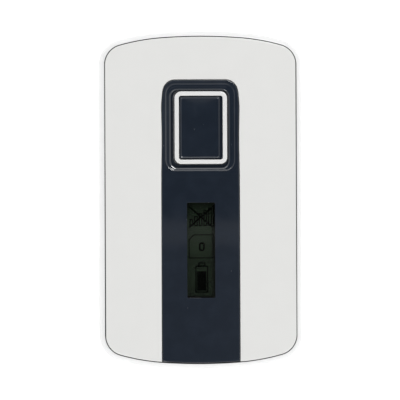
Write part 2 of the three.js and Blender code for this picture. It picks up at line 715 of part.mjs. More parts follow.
// Centre panel: the navy strip with the key's pocket and the display opening
function centrePanel() {
  const strip = prism(stripOutline(STRIP_FIT), panelBottomZ, FAR).intersect(lidSolid);
  const slopeAt = (z) => (POCKET_SLOPE * (frontZ - z)) / POCKET_DEPTH;
  const pocketRing = (z, grow) => {
    const shrink = 2 * (slopeAt(z) - grow);
    const radius = POCKET_CORNER_RADIUS + (grow - slopeAt(z)) / 2;
    return atHeight(
      roundedOutline(0, keyY, POCKET_WIDTH - shrink, POCKET_HEIGHT - shrink, radius, 5), z);
  };
  const dish = loft([pocketRing(pocketUndersideZ, POCKET_WALL), pocketRing(panelBottomZ, POCKET_WALL)]);
  const pocket = loft([pocketRing(pocketFloorZ, 0), pocketRing(frontZ + OVERRUN, 0)]);
  const opening = 2 * KEY_CLEARANCE;
  const keyHole = roundedBlock(0, keyY, KEY_WIDTH + opening, KEY_HEIGHT + opening,
    KEY_CORNER_RADIUS + KEY_CLEARANCE, 0, FAR);
  const windowHole = roundedBlock(0, displayY, WINDOW_WIDTH, WINDOW_HEIGHT, WINDOW_CORNER_RADIUS,
    0, FAR);
  return cut(strip.add(dish), pocket, keyHole, windowHole);
}

// Event key
function keyRing() {
  const outer = roundedOutline(0, keyY, KEY_WIDTH, KEY_HEIGHT, KEY_CORNER_RADIUS);
  const top = roundedOutline(0, keyY, KEY_WIDTH - 2 * KEY_RING_CHAMFER,
    KEY_HEIGHT - 2 * KEY_RING_CHAMFER, KEY_CORNER_RADIUS - KEY_RING_CHAMFER);
  const body = loft([
    atHeight(outer, flangeTopZ),
    atHeight(outer, keyTopZ - KEY_RING_CHAMFER),
    atHeight(top, keyTopZ),
  ]);
  return body.subtract(roundedBlock(0, keyY, padWidth, padHeight, PAD_CORNER_RADIUS, 0, FAR));
}

function keyPad() {
  const width = padWidth - 2 * PAD_FIT;
  const height = padHeight - 2 * PAD_FIT;
  const ring = (inset, z) => {
    const radius = PAD_CORNER_RADIUS + inset / 8;
    return atHeight(roundedOutline(0, keyY, width - 2 * inset, height - 2 * inset, radius), z);
  };
  const edgeZ = keyTopZ - PAD_BEVEL / 4;
  const dishShares = [0.2, 0.4, 0.7];
  const dish = dishShares.map((share) => {
    const inset = PAD_BEVEL + share * (width / 2 - PAD_BEVEL);
    return ring(inset, edgeZ - PAD_DISH * (1 - (1 - share) ** 2));
  });
  return loft([
    ring(0, padBottomZ),
    ring(0, edgeZ - PAD_BEVEL / 2),
    ring(PAD_BEVEL, edgeZ),
    ...dish,
  ]);
}

function keyCarrier() {
  const core = roundedBlock(0, keyY, padWidth - 2 * PAD_FIT, padHeight - 2 * PAD_FIT,
    PAD_CORNER_RADIUS, flangeTopZ, padBottomZ);
  const flange = roundedBlock(0, keyY, KEY_WIDTH + 2 * CARRIER_FLANGE, KEY_HEIGHT + 2 * CARRIER_FLANGE,
    KEY_CORNER_RADIUS, flangeBottomZ, flangeTopZ);
  const hollow = column(0, keyY, 0, domeTopZ, DOME_RADIUS + DOME_CLEARANCE);
  return cut(core.add(flange), hollow);
}

function keyDome() {
  const height = domeTopZ - boardTopZ;
  const capRadius = DOME_RADIUS / 2;
  const hipRadius = (DOME_RADIUS + capRadius) / 2;
  const profile = [
    [0, height - DOME_SKIN],
    [capRadius - DOME_SKIN / 2, height - DOME_SKIN],
    [hipRadius - DOME_SKIN / 2, height / 4],
    [DOME_RADIUS - DOME_SKIN, 0],
    [DOME_RADIUS, 0],
    [DOME_RADIUS, height / 4],
    [hipRadius, height / 2],
    [capRadius, height],
    [0, height],
  ];
  return turned(profile).translate([0, keyY, boardTopZ]);
}

// Display stack
function displayWindow() {
  const fit = 2 * WINDOW_FIT;
  const pane = roundedBlock(0, displayY, WINDOW_WIDTH - fit, WINDOW_HEIGHT - fit,
    WINDOW_CORNER_RADIUS, panelBottomZ, FAR).intersect(crown);
  const flange = block(-WINDOW_WIDTH / 2 - WINDOW_FLANGE, WINDOW_WIDTH / 2 + WINDOW_FLANGE,
    displayY - WINDOW_HEIGHT / 2 - WINDOW_FLANGE, displayY + WINDOW_HEIGHT / 2 + WINDOW_FLANGE,
    panelBottomZ - WINDOW_FLANGE_THICKNESS, panelBottomZ);
  return pane.add(flange);
}

function frameBlock(halfWidth, halfHeight, border, z0, z1) {
  const outer = block(-halfWidth, halfWidth, displayY - halfHeight, displayY + halfHeight, z0, z1);
  const hole = block(-halfWidth + border, halfWidth - border, displayY - halfHeight + border,
    displayY + halfHeight - border, z0 - OVERRUN, z1 + OVERRUN);
  return outer.subtract(hole);
}

function displayGasket() {
  return frameBlock(WINDOW_WIDTH / 2 + WINDOW_FLANGE, WINDOW_HEIGHT / 2 + WINDOW_FLANGE,
    WINDOW_FLANGE - 2 * WINDOW_FIT, lidBottomZ, panelBottomZ - WINDOW_FLANGE_THICKNESS);
}

function displayGlass() {
  return block(-glassWidth / 2, glassWidth / 2, displayY - glassHeight / 2, displayY + glassHeight / 2,
    glassBottomZ, lidBottomZ);
}

function displayReflector() {
  return block(-WINDOW_WIDTH / 2, WINDOW_WIDTH / 2, displayY - WINDOW_HEIGHT / 2,
    displayY + WINDOW_HEIGHT / 2, glassBottomZ - REFLECTOR_THICKNESS, glassBottomZ);
}

function displayBracket() {
  const border = BRACKET_FIT + BRACKET_WALL;
  return frameBlock(glassWidth / 2 + border, glassHeight / 2 + border, BRACKET_WALL, boardTopZ, lidBottomZ);
}

function displayConnector(side) {
  const outerY = displayY + side * (glassHeight / 2 - BRACKET_FIT);
  const innerY = outerY - side * CONNECTOR_WIDTH;
  const halfWidth = (WINDOW_WIDTH + glassWidth) / 4;
  return block(-halfWidth, halfWidth, Math.min(outerY, innerY), Math.max(outerY, innerY), boardTopZ,
    glassBottomZ);
}

// Board and what is soldered under it
function mainBoard() {
  const board = prism(housingOutline(boardInset), boardBottomZ, boardTopZ);
  const holes = [...housingScrewPlaces, ...boardScrewPlaces].map(([, x, y]) =>
    column(x, y, 0, FAR, SCREW_RADIUS + SCREW_CLEARANCE));
  return cut(board, join(holes));
}

function underBoard({ x, y, w, l, h }) {
  return block(x - w / 2, x + w / 2, y - l / 2, y + l / 2, boardBottomZ - h, boardBottomZ);
}

// A moulded chip with a row of legs down its two long sides
function leggedChip(place, legCount) {
  const reach = place.w / 2 + CHIP_LEG_REACH;
  const pitch = place.l / (legCount + 1);
  const legs = [];
  for (let i = 1; i <= legCount; i += 1) {
    const y = place.y - place.l / 2 + i * pitch;
    legs.push(block(place.x - reach, place.x + reach, y - CHIP_LEG_WIDTH / 2, y + CHIP_LEG_WIDTH / 2,
      boardBottomZ - CHIP_LEG_WIDTH, boardBottomZ));
  }
  return join([underBoard(place), ...legs]);
}

function simHolder() {
  const { x, y, w, l, h } = simPlace;
  const slotWidth = w + 2 * SIM_FIT;
  const slotHeight = h + SIM_FIT;
  const slot = { x, y, w: slotWidth, l: l + 2 * OVERRUN, h: slotHeight };
  const shell = { x, y, w: slotWidth + 2 * SIM_SHELL, l, h: slotHeight + SIM_SHELL };
  const view = column(x, y, 0, boardBottomZ, l / 4);
  return cut(underBoard(shell), underBoard(slot), view);
}

function simCard() {
  const corner = block(-FAR, FAR, 0, FAR, 0, FAR).rotate([0, 0, -45])
    .translate([simPlace.x + (simPlace.w - SIM_CORNER_CUT) / 2,
      simPlace.y + (simPlace.l - SIM_CORNER_CUT) / 2, 0]);
  return underBoard(simPlace).subtract(corner);
}

function buzzer() {
  const can = column(BUZZER_X, memoryRowY, boardBottomZ - BUZZER_HEIGHT, boardBottomZ, BUZZER_RADIUS);
  const port = column(BUZZER_X, memoryRowY, 0, boardBottomZ - BUZZER_HEIGHT / 2, BUZZER_PORT_RADIUS);
  return can.subtract(port);
}

// Screws with a cross slot, head at the lower end
function screw(x, y, headZ, length) {
  const profile = [
    [0, 0],
    [SCREW_HEAD_RADIUS - SCREW_HEAD_EDGE, 0],
    [SCREW_HEAD_RADIUS, SCREW_HEAD_HEIGHT / 3],
    [SCREW_HEAD_RADIUS, SCREW_HEAD_HEIGHT],
    [SCREW_RADIUS, SCREW_HEAD_HEIGHT],
    [SCREW_RADIUS, SCREW_HEAD_HEIGHT + length - SCREW_RADIUS],
    [0, SCREW_HEAD_HEIGHT + length],
  ];
  const reach = SCREW_HEAD_RADIUS - 2 * SCREW_HEAD_EDGE;
  const depth = SCREW_HEAD_HEIGHT / 2;
  const slots = block(-reach, reach, -SCREW_SLOT / 2, SCREW_SLOT / 2, -OVERRUN, depth)
    .add(block(-SCREW_SLOT / 2, SCREW_SLOT / 2, -reach, reach, -OVERRUN, depth));
  return turned(profile).subtract(slots).translate([x, y, headZ]);
}

function housingScrew(x, y) {
  const headZ = backZ + SCREW_HEAD_SINK;
  const length = lidBottomZ - SCREW_TIP_GAP - headZ - SCREW_HEAD_HEIGHT;
  return screw(x, y, headZ, length);
}

function boardScrew(x, y) {
  return screw(0, 0, 0, BOARD_SCREW_LENGTH).rotate([180, 0, 0])
    .translate([x, y, boardTopZ + SCREW_HEAD_HEIGHT]);
}

// Cells, coils and plates
function cell(side) {
  const body = CELL_LENGTH - CELL_NUB_LENGTH;
  const radius = CELL_DIAMETER / 2;
  const profile = [
    [0, 0],
    [radius - CELL_EDGE, 0],
    [radius, CELL_EDGE],
    [radius, body - CELL_EDGE],
    [radius - CELL_EDGE, body],
    [CELL_NUB_RADIUS, body],
    [CELL_NUB_RADIUS, CELL_LENGTH],
    [0, CELL_LENGTH],
  ];
  const upright = turned(profile, LARGE_ROUND_SIDES);
  const nubUpY = bayEndY - CONTACT_THICKNESS - CELL_LENGTH;
  const nubDownY = bayStartY + CONTACT_THICKNESS + CELL_LENGTH;
  return side < 0
    ? upright.rotate([-90, 0, 0]).translate([-cellX, nubUpY, cellZ])
    : upright.rotate([90, 0, 0]).translate([cellX, nubDownY, cellZ]);
}

class TaperedCoil extends THREE.Curve {
  constructor(length) {
    super();
    this.length = length;
  }

  getPoint(t, target = new THREE.Vector3()) {
    const angle = 2 * Math.PI * COIL_TURNS * t;
    const radius = THREE.MathUtils.lerp(COIL_BASE_RADIUS, COIL_TIP_RADIUS, t);
    const rise = COIL_WIRE_RADIUS + (this.length - 2 * COIL_WIRE_RADIUS) * t;
    return target.set(radius * Math.cos(angle), radius * Math.sin(angle), rise);
  }
}

function coil(x, baseY, direction) {
  const curve = new TaperedCoil(COIL_LENGTH - 2 * COIL_END_GAP);
  const section = new THREE.Shape();
  section.absarc(0, 0, COIL_WIRE_RADIUS, 0, 2 * Math.PI);
  const geometry = new THREE.ExtrudeGeometry(section, {
    steps: COIL_TURNS * COIL_STEPS_PER_TURN,
    curveSegments: 3,
    extrudePath: curve,
    bevelEnabled: false,
  });
  return solidOf(geometry).rotate([-90 * direction, 0, 0])
    .translate([x, baseY + direction * COIL_END_GAP, cellZ]);
}

function endPlate(x) {
  const plate = block(x - CONTACT_WIDTH / 2, x + CONTACT_WIDTH / 2, bayEndY - CONTACT_THICKNESS, bayEndY,
    cellZ - CONTACT_WIDTH / 2, bayTopZ);
  const tab = block(x - CONTACT_TAB_WIDTH / 2, x + CONTACT_TAB_WIDTH / 2, bayEndY - CONTACT_THICKNESS,
    bayEndY, bayTopZ - OVERRUN, boardBottomZ);
  return plate.add(tab);
}

function contactSlots() {
  const half = CONTACT_TAB_WIDTH / 2 + SCREW_CLEARANCE;
  return join([-cellX, cellX].map((x) => block(x - half, x + half,
    bayEndY - CONTACT_THICKNESS - SCREW_CLEARANCE, bayEndY, bayTopZ - OVERRUN, FAR)));
}

function jumperPlate() {
  return block(-cellX - CONTACT_WIDTH / 2, cellX + CONTACT_WIDTH / 2, bayStartY,
    bayStartY + CONTACT_THICKNESS, cellZ - CONTACT_WIDTH / 2, cellZ + CONTACT_WIDTH / 2);
}

function doorFoam() {
  const halfWidth = cellX + CELL_NUB_RADIUS;
  return block(-halfWidth, halfWidth, bayStartY + COIL_LENGTH, bayEndY - COIL_LENGTH, doorInnerZ,
    doorInnerZ + DOOR_FOAM);
}

// Electrodes on the back, their nuts and the sprung pins above them
const electrodeSeatZ = backZ + ELECTRODE_SINK;
const shankTopZ = floorZ + SHANK_LENGTH;

function electrode(x, y) {
  const profile = [
    [0, 0],
    [ELECTRODE_RADIUS - ELECTRODE_EDGE, 0],
    [ELECTRODE_RADIUS, ELECTRODE_EDGE],
    [ELECTRODE_RADIUS, electrodeSeatZ],
    [SHANK_RADIUS, electrodeSeatZ],
    [SHANK_RADIUS, shankTopZ],
    [0, shankTopZ],
  ];
  return turned(profile, LARGE_ROUND_SIDES).translate([x, y, 0]);
}

function electrodeNut(x, y) {
  const hexagon = column(x, y, floorZ, floorZ + NUT_HEIGHT, NUT_RADIUS, 6);
  return hexagon.subtract(column(x, y, 0, FAR, SHANK_RADIUS + THREAD_FIT));
}

function contactPin(x, y) {
  const neckZ = shankTopZ + PIN_PLUNGER_LENGTH;
  const profile = [
    [0, shankTopZ],
    [PIN_PLUNGER_RADIUS, shankTopZ],
    [PIN_PLUNGER_RADIUS, neckZ],
    [PIN_BARREL_RADIUS, neckZ],
    [PIN_BARREL_RADIUS, boardBottomZ],
    [0, boardBottomZ],
  ];
  return turned(profile, PIN_SIDES).translate([x, y, 0]);
}

function ratingLabel() {
  return roundedBlock(0, labelY, LABEL_WIDTH, LABEL_HEIGHT, LABEL_CORNER_RADIUS,
    backZ - LABEL_THICKNESS, backZ);
}

// The assembly
const monitor = new THREE.Group();
monitor.name = 'ecg_event_monitor';

const eventKey = new THREE.Group();
const batteryHatch = new THREE.Group();
monitor.add(eventKey, batteryHatch);

function place(parent, name, solid, material) {
  const mesh = new THREE.Mesh(geometryOf(solid), material);
  mesh.name = name;
  parent.add(mesh);
}

place(monitor, 'rear_shell', rearShell(), materials.whiteShell);
place(monitor, 'front_shell', frontShell(), materials.greyShell);
place(monitor, 'perimeter_seal', perimeterSeal(), materials.seal);
place(monitor, 'centre_panel', centrePanel(), materials.navyPanel);
place(monitor, 'display_window', displayWindow(), materials.window);
place(monitor, 'display_gasket', displayGasket(), materials.foam);
place(monitor, 'display_glass', displayGlass(), materials.glass);
place(monitor, 'display_reflector', displayReflector(), materials.steel);
place(monitor, 'display_bracket', displayBracket(), materials.greyPlastic);
place(monitor, 'display_connector_top', displayConnector(1), materials.silicone);
place(monitor, 'display_connector_bottom', displayConnector(-1), materials.silicone);
place(monitor, 'main_board', mainBoard(), materials.board);
place(monitor, 'processor_chip', leggedChip(processorPlace, PROCESSOR_LEGS), materials.chip);
place(monitor, 'amplifier_chip', leggedChip(amplifierPlace, AMPLIFIER_LEGS), materials.chip);
place(monitor, 'memory_chip', leggedChip(memoryPlace, MEMORY_LEGS), materials.chip);
place(monitor, 'radio_module', underBoard(radioPlace), materials.steel);
place(monitor, 'radio_antenna', underBoard(antennaPlace), materials.ceramic);
place(monitor, 'sim_holder', simHolder(), materials.steel);
place(monitor, 'sim_card', simCard(), materials.label);
place(monitor, 'timing_crystal', underBoard(crystalPlace), materials.steel);
place(monitor, 'buffer_capacitor', underBoard(capacitorPlace), materials.ceramic);
place(monitor, 'buzzer', buzzer(), materials.chip);
place(monitor, 'key_dome', keyDome(), materials.silicone);
place(monitor, 'lead_socket', leadSocket(), materials.greyPlastic);
leadPinXs().forEach((x, i) => place(monitor, `lead_pin_${i + 1}`, leadPin(x), materials.gold));
electrodePlaces.forEach(([corner, x, y]) => {
  place(monitor, `electrode_${corner}`, electrode(x, y), materials.steel);
  place(monitor, `electrode_nut_${corner}`, electrodeNut(x, y), materials.gold);
  place(monitor, `contact_pin_${corner}`, contactPin(x, y), materials.gold);
});
place(monitor, 'battery_left', cell(-1), materials.cell);
place(monitor, 'battery_right', cell(1), materials.cell);
place(monitor, 'battery_spring_left', coil(-cellX, bayStartY + CONTACT_THICKNESS, 1), materials.steel);
place(monitor, 'battery_spring_right', coil(cellX, bayEndY - CONTACT_THICKNESS, -1), materials.steel);
place(monitor, 'positive_plate', endPlate(-cellX), materials.steel);
place(monitor, 'negative_plate', endPlate(cellX), materials.steel);
place(monitor, 'jumper_plate', jumperPlate(), materials.steel);
housingScrewPlaces.forEach(([corner, x, y]) => {
  place(monitor, `housing_screw_${corner}`, housingScrew(x, y), materials.steel);
});
boardScrewPlaces.forEach(([side, x, y]) => {
  place(monitor, `board_screw_${side}`, boardScrew(x, y), materials.steel);
});
place(monitor, 'rating_label', ratingLabel(), materials.label);
place(eventKey, 'key_ring', keyRing(), materials.ring);
place(eventKey, 'key_pad', keyPad(), materials.navyPanel);
place(eventKey, 'key_carrier', keyCarrier(), materials.greyPlastic);
place(batteryHatch, 'battery_door', doorSolid(), materials.whiteShell);
place(batteryHatch, 'door_foam', doorFoam(), materials.foam);

export default monitor;
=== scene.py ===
"""Looks of the hand-held ECG event monitor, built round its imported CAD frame.

Metres. +Z is out of the front face, +Y towards the event key, +X to the right.
"""

import json
import math

import bmesh
import bpy
from mathutils import Matrix, Vector
from mathutils.geometry import tessellate_polygon


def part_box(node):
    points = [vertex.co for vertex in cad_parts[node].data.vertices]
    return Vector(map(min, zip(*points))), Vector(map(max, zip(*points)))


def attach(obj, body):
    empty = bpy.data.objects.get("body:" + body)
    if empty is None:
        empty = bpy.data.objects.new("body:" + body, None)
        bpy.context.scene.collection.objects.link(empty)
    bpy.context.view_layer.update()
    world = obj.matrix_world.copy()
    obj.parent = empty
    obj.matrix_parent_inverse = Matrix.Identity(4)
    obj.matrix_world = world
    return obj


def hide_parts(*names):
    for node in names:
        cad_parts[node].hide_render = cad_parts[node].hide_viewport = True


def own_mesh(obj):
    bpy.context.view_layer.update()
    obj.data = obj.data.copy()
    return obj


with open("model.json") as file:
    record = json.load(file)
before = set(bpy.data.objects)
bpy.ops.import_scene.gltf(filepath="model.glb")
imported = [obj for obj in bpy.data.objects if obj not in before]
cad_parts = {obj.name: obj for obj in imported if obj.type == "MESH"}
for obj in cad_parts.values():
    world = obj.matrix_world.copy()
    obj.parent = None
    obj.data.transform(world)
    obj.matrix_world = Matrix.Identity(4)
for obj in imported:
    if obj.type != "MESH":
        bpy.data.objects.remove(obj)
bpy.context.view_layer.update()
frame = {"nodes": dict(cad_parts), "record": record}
scene = bpy.context.scene

MM = 0.001

# Fineness of the curves, and how near points have to be to count as one
EDGE_STEPS = 4
CORNER_STEPS = 8
STRIP_CORNER_STEPS = 10
POCKET_CORNER_STEPS = 12
SMALL_CORNER_STEPS = 4
GLASS_CORNER_STEPS = 3
ROUND_SIDES = 48
DOME_SIDES = 64
CELL_SIDES = 72
ELECTRODE_SIDES = 96
MERGE_DISTANCE = 1e-7
MIN_RADIUS = 1e-9

# Angles, in degrees, from which an edge stays crisp
CRISP_ANGLE = 35
HOUSING_CRISP_ANGLE = 30
PANEL_CRISP_ANGLE = 40
DOME_CRISP_ANGLE = 50
PAD_CRISP_ANGLE = 60

# Outline of the face
END_ARC_RADIUS = 180 * MM
END_ARC_ANGLE = math.radians(4.4)
SHOULDER_RADIUS = 72.8 * MM
CORNER_RADIUS = 6.8 * MM
ARC_STEPS = (5, 12, 12)

# Rounded forms of the housing
RIM_ROUND_HEIGHT = 6.5 * MM
RIM_STEP = 0.45 * MM
LEDGE = 0.55 * MM
BACK_EDGE_RADIUS = 4 * MM
SIDE_DRAFT = 0.5 * MM
SIDE_DRAFT_HEIGHT = 7.5 * MM
CROWN_DROP = 0.5 * MM
CROWN_PITCH = 1.5 * MM
PANEL_THICKNESS = 1.2 * MM
LID_EDGE = 0.26 * MM
SLOT_EDGE_SHARE = 0.6
SEAM_TRIM = 0.05 * MM
SEAL_STEPS = 6

# Strip
SLOT_FIT = 0.15 * MM
STRIP_SHIFT = -0.1 * MM
STRIP_CORNER = (4.5 * MM, 5.65 * MM)
STRIP_TOP_TRIM = 0.06 * MM
STRIP_SIDE_STEPS = 80
STRIP_END_STEPS = 12
STRIP_EDGE = 0.28 * MM
STRIP_END_TRIM = 0.04 * MM
# How far the strip draws in, at which place along Y and over what reach: by the key, by the corners
STRIP_WAISTS = ((0.2 * MM, 21 * MM, 9 * MM), (0.3 * MM, 36.65 * MM, 2.4 * MM))
SEAL_FOOT_REACH = 0.22 * MM

# Pocket: outlines from its rim inwards, each as left, bottom, right and top from the key's middle,
# the two radii of its corners and the drop there, in millimetres
POCKET_FORM = (
    (-12.98, -17.4, 12.55, 16.1, 4.1, 5.4, 0),
    (-12.4, -15.1, 12.05, 15.5, 3.6, 4.3, 0.05),
    (-11.75, -14.7, 11.4, 14.58, 3.1, 3.2, 0.2),
    (-11.25, -14.65, 10.3, 13.55, 2.9, 2.9, 0.24),
    (-10.32, -13.95, 9.62, 12.9, 2.4, 2.4, 0.49),
)
POCKET_STEPS = 8
MOAT_DEPTH = 1.4 * MM
KEY_CLEARANCE = 0.3 * MM
HOLE_EDGE = 0.15 * MM
HOLE_WALL = 1.6 * MM

# Event key
KEY_CORNER_RADIUS = 2.3 * MM
RING_EDGE = 0.26 * MM
RING_INNER_EDGE = 0.25 * MM
RING_WIDTH = 1.51 * MM
RING_SHRINK = 0.16 * MM
RING_SHIFT = 0.06 * MM
PAD_CORNER_RADIUS = 0.8 * MM
PAD_TOP_RADIUS = 0.45 * MM
PAD_FIT = 0.66 * MM
PAD_END_FIT = 0.44 * MM
PAD_SHIFT = -0.23 * MM
PAD_GROOVE = 0.7 * MM
PAD_GROOVE_FIT = 0.08 * MM
PAD_EDGE = 0.15 * MM
PAD_LIP = 0.1 * MM
PAD_STEP = 0.09 * MM
PAD_STEP_RUN = 0.24 * MM
PAD_STEP_COUNT = 6
PAD_DISH = 0.24 * MM
PAD_SIDE_DISH = 0.18
PAD_PITCH = 0.75 * MM
DOME_FOOT = 1 * MM
DOME_SKIN = 0.8 * MM
DOME_CAP_SHARE = 0.5
DOME_STEPS = 10
SIDE_STEPS = 28
STRAIGHT_LENGTH = 2 * MM

# Display
WINDOW_WIDTH = 9.7 * MM
WINDOW_HEIGHT = 33 * MM
WINDOW_CORNER_RADIUS = 0.5 * MM
WINDOW_FIT = 0.02 * MM
WINDOW_EDGE = 0.03 * MM
GLASS_CORNER_RADIUS = 0.3 * MM
# Painted shade of the display along its right, bottom and top edges, and a darkening below its
# middle: how far from the edge or the middle each starts and is full, and how dark
DISPLAY_SIDE_PAINTED_SHADE = (1.7 * MM, 0, 0.85)
DISPLAY_END_PAINTED_SHADE = (0.9 * MM, 0.45 * MM, 0.9)
DISPLAY_TOP_PAINTED_SHADE = (7 * MM, 0, 0.6)
DISPLAY_LOW_DARKENING = (0, -4 * MM, 0.24)

# Housing and its back
BACK_WALL = 1.8 * MM
BACK_STEPS = 8
RIM_STEPS = 12
BAY_WALL = 1.2 * MM
BAY_CLEARANCE = 0.2 * MM
BOSS_RADIUS = 3.4 * MM
POST_RADIUS = 2.2 * MM
SCREW_HOLE_RADIUS = 1.2 * MM
SCREW_HEAD_CLEARANCE = 0.2 * MM
SCREW_HEAD_HEIGHT = 1.4 * MM
SOUND_HOLE_RADIUS = 0.6 * MM
SOUND_HOLE_RING = 2.6 * MM
SOUND_HOLE_COUNT = 6
DOOR_CLEARANCE = 0.15 * MM
RAIL_WIDTH = 1 * MM
RAIL_THICKNESS = 0.7 * MM
TONGUE_HALF_WIDTH = 6 * MM
TONGUE_LENGTH = 1.6 * MM
DOOR_SEAT_MARGIN = 1.2 * MM
DOOR_SEAT_THICKNESS = 1.2 * MM
GRIP_COUNT = 5
GRIP_PITCH = 2 * MM
GRIP_HALF_WIDTH = 6 * MM
GRIP_DEPTH = 0.4 * MM
GRIP_FROM_TOP = 5.6 * MM
SOCKET_FIT = 0.15 * MM
SOCKET_FACET = 0.01 * MM
ELECTRODE_RADIUS = 6.5 * MM
ELECTRODE_SINK = 0.7 * MM
ELECTRODE_FIT = 0.1 * MM
ELECTRODE_EDGE = 0.4 * MM
SHANK_RADIUS = 2 * MM
SHELL_EDGE = 0.12 * MM
OVERRUN = 1 * MM
FAR = 80 * MM

# Cells and springs
SLEEVE_WALL = 0.06 * MM
SLEEVE_LAP = 0.9 * MM
CELL_EDGE = 0.5 * MM
NUB_RADIUS = 1.9 * MM
NUB_LENGTH = 1 * MM
WIRE_RADIUS = 0.35 * MM
COIL_BASE_RADIUS = 3.6 * MM
COIL_TIP_RADIUS = 2.2 * MM
COIL_TURNS = 4
COIL_STEPS = 28
WIRE_SIDES = 12

# Pictograms of the display, with boxes as left, bottom, right and top from its middle
INK_WIDTH = 0.55 * MM
FINE_INK_WIDTH = 0.4 * MM
CARD_INK_WIDTH = 0.32 * MM
BATTERY_INK_WIDTH = 0.44 * MM
ZERO_INK_WIDTH = 0.52 * MM
ZERO_RADIUS = 0.6 * MM
BATTERY_RADIUS = 0.35 * MM
INK_THICKNESS = 0.02 * MM
INK_SHIFT = 0.07 * MM
CROSS_BOX = (-3.95 * MM, 8.05 * MM, 3.9 * MM, 14.9 * MM)
BAR_COUNT = 6
BAR_START = -3.82 * MM
BAR_PITCH = 1.62 * MM
BAR_WIDTH = 0.86 * MM
BAR_FOOT = 8.52 * MM
BAR_HEIGHTS = (2.05 * MM, 7.1 * MM)
BAR_REACH = 4.72 * MM
CARD_BOX = (-4.18 * MM, -2.72 * MM, 4.12 * MM, 5.28 * MM)
CARD_CUT = 1.65 * MM
ZERO_BOX = (-0.5 * MM, -0.05 * MM, 0.95 * MM, 2.4 * MM)
BATTERY_BOX = (-1.85 * MM, -14.55 * MM, 2.2 * MM, -5.6 * MM)
BATTERY_CAP = (-0.85 * MM, -5.5 * MM, 1.15 * MM, -4.5 * MM)
BATTERY_FILL = (-1.45 * MM, -14.1 * MM, 1.75 * MM, -7.35 * MM)

# Carried-over pieces
SMALL_EDGE = 0.05 * MM
WELD_DISTANCE = 0.001 * MM
BEVEL_ANGLE = math.radians(40)
BEVEL_SEGMENTS = 2

# Places that the frame gives
shell_low, shell_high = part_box("rear_shell")
seal_low, seal_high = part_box("perimeter_seal")
panel_low, panel_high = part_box("centre_panel")
window_low, window_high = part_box("display_window")
glass_low, glass_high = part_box("display_glass")
ring_low, ring_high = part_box("key_ring")
pad_low, pad_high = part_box("key_pad")
board_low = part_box("main_board")[0]
socket_low, socket_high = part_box("lead_socket")
door_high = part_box("battery_door")[1]

half_width, half_height, front_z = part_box("front_shell")[1]
back_z = shell_low.z
housing_grow = shell_high.x - half_width
rim_width = shell_high.x - seal_high.x
seam_grow = housing_grow - rim_width - SEAM_TRIM
floor_z = back_z + BACK_WALL
electrode_seat_z = back_z + ELECTRODE_SINK
seat_z = seal_low.z
panel_bottom_z = front_z - PANEL_THICKNESS
door_inner_z = door_high.z
door_rail_z = door_inner_z - RAIL_THICKNESS
door_half_width = door_high.x - RAIL_WIDTH
door_top_y = door_high.y - TONGUE_LENGTH
cell_bottom_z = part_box("battery_left")[0].z
bay_half_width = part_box("battery_right")[1].x + BAY_CLEARANCE
bay_start_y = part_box("jumper_plate")[0].y
bay_end_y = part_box("positive_plate")[1].y
bay_top_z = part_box("battery_left")[1].z + BAY_CLEARANCE
key_y = (ring_low.y + ring_high.y) / 2
ring_y = key_y - RING_SHRINK / 2
window_y = (window_low.y + window_high.y) / 2
slot_half_width = panel_high.x + SLOT_FIT
slot_top_y = panel_high.y + SLOT_FIT
CORNERS = ("top_right", "top_left", "bottom_left", "bottom_right")


def middle(node):
    """Centre of a CAD node's box."""
    low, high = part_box(node)
    return (low + high) / 2


def crown(x):
    """Drop of the crowned front below its middle line."""
    return CROWN_DROP * (x / half_width) ** 2


# Outlines


def quadrant_arcs(grow):
    """Centre, radius, start and stop of one quadrant's three tangent arcs."""
    radii = [END_ARC_RADIUS + grow, SHOULDER_RADIUS + grow, CORNER_RADIUS + grow]
    reach = half_width - CORNER_RADIUS
    reach -= (END_ARC_RADIUS - SHOULDER_RADIUS) * math.sin(END_ARC_ANGLE)
    stops = [0, END_ARC_ANGLE, math.asin(reach / (SHOULDER_RADIUS - CORNER_RADIUS)), math.pi / 2]
    centre = Vector((0, half_height - END_ARC_RADIUS))
    arcs = []
    for radius, inner, start, stop in zip(radii, [*radii[1:], 0], stops, stops[1:]):
        arcs.append((centre, radius, start, stop))
        centre = centre + Vector((math.sin(stop), math.cos(stop))) * (radius - inner)
    return arcs


def quadrant(grow, first_arc=0):
    """Points of the top right quadrant, from the middle line outwards."""
    points = []
    for i, (centre, radius, start, stop) in enumerate(quadrant_arcs(grow)[first_arc:], first_arc):
        for step in range(min(i, 1), ARC_STEPS[i] + 1):
            angle = start + (stop - start) * step / ARC_STEPS[i]
            x = centre.x + radius * math.sin(angle)
            y = centre.y + radius * math.cos(angle)
            points.append((x, y))
    return points


def flipped(points, sign_x, sign_y):
    return [(sign_x * x, sign_y * y) for x, y in points]


def housing_outline(grow):
    """The face's outline, grown, counter-clockwise from the right."""
    points = quadrant(grow)
    outline = points[:0:-1] + flipped(points[:-1], -1, 1)
    return outline + flipped(outline, -1, -1)


def edge_y(x, grow):
    """How far the grown outline reaches along Y beside the middle line."""
    end = END_ARC_RADIUS + grow
    if abs(x) <= end * math.sin(END_ARC_ANGLE):
        return half_height - END_ARC_RADIUS + math.sqrt(end**2 - x**2)
    centre, radius, _, _ = quadrant_arcs(grow)[1]
    return centre.y + math.sqrt(radius**2 - (abs(x) - centre.x) ** 2)


def arc(x, y, radius, start, stop, steps, radius_y=None):
    """Points along an arc, or along an oval one where the radius along Y differs."""
    rise = radius_y or radius
    points = []
    for step in range(steps + 1):
        angle = math.radians(start + (stop - start) * step / steps)
        points.append((x + radius * math.cos(angle), y + rise * math.sin(angle)))
    return points


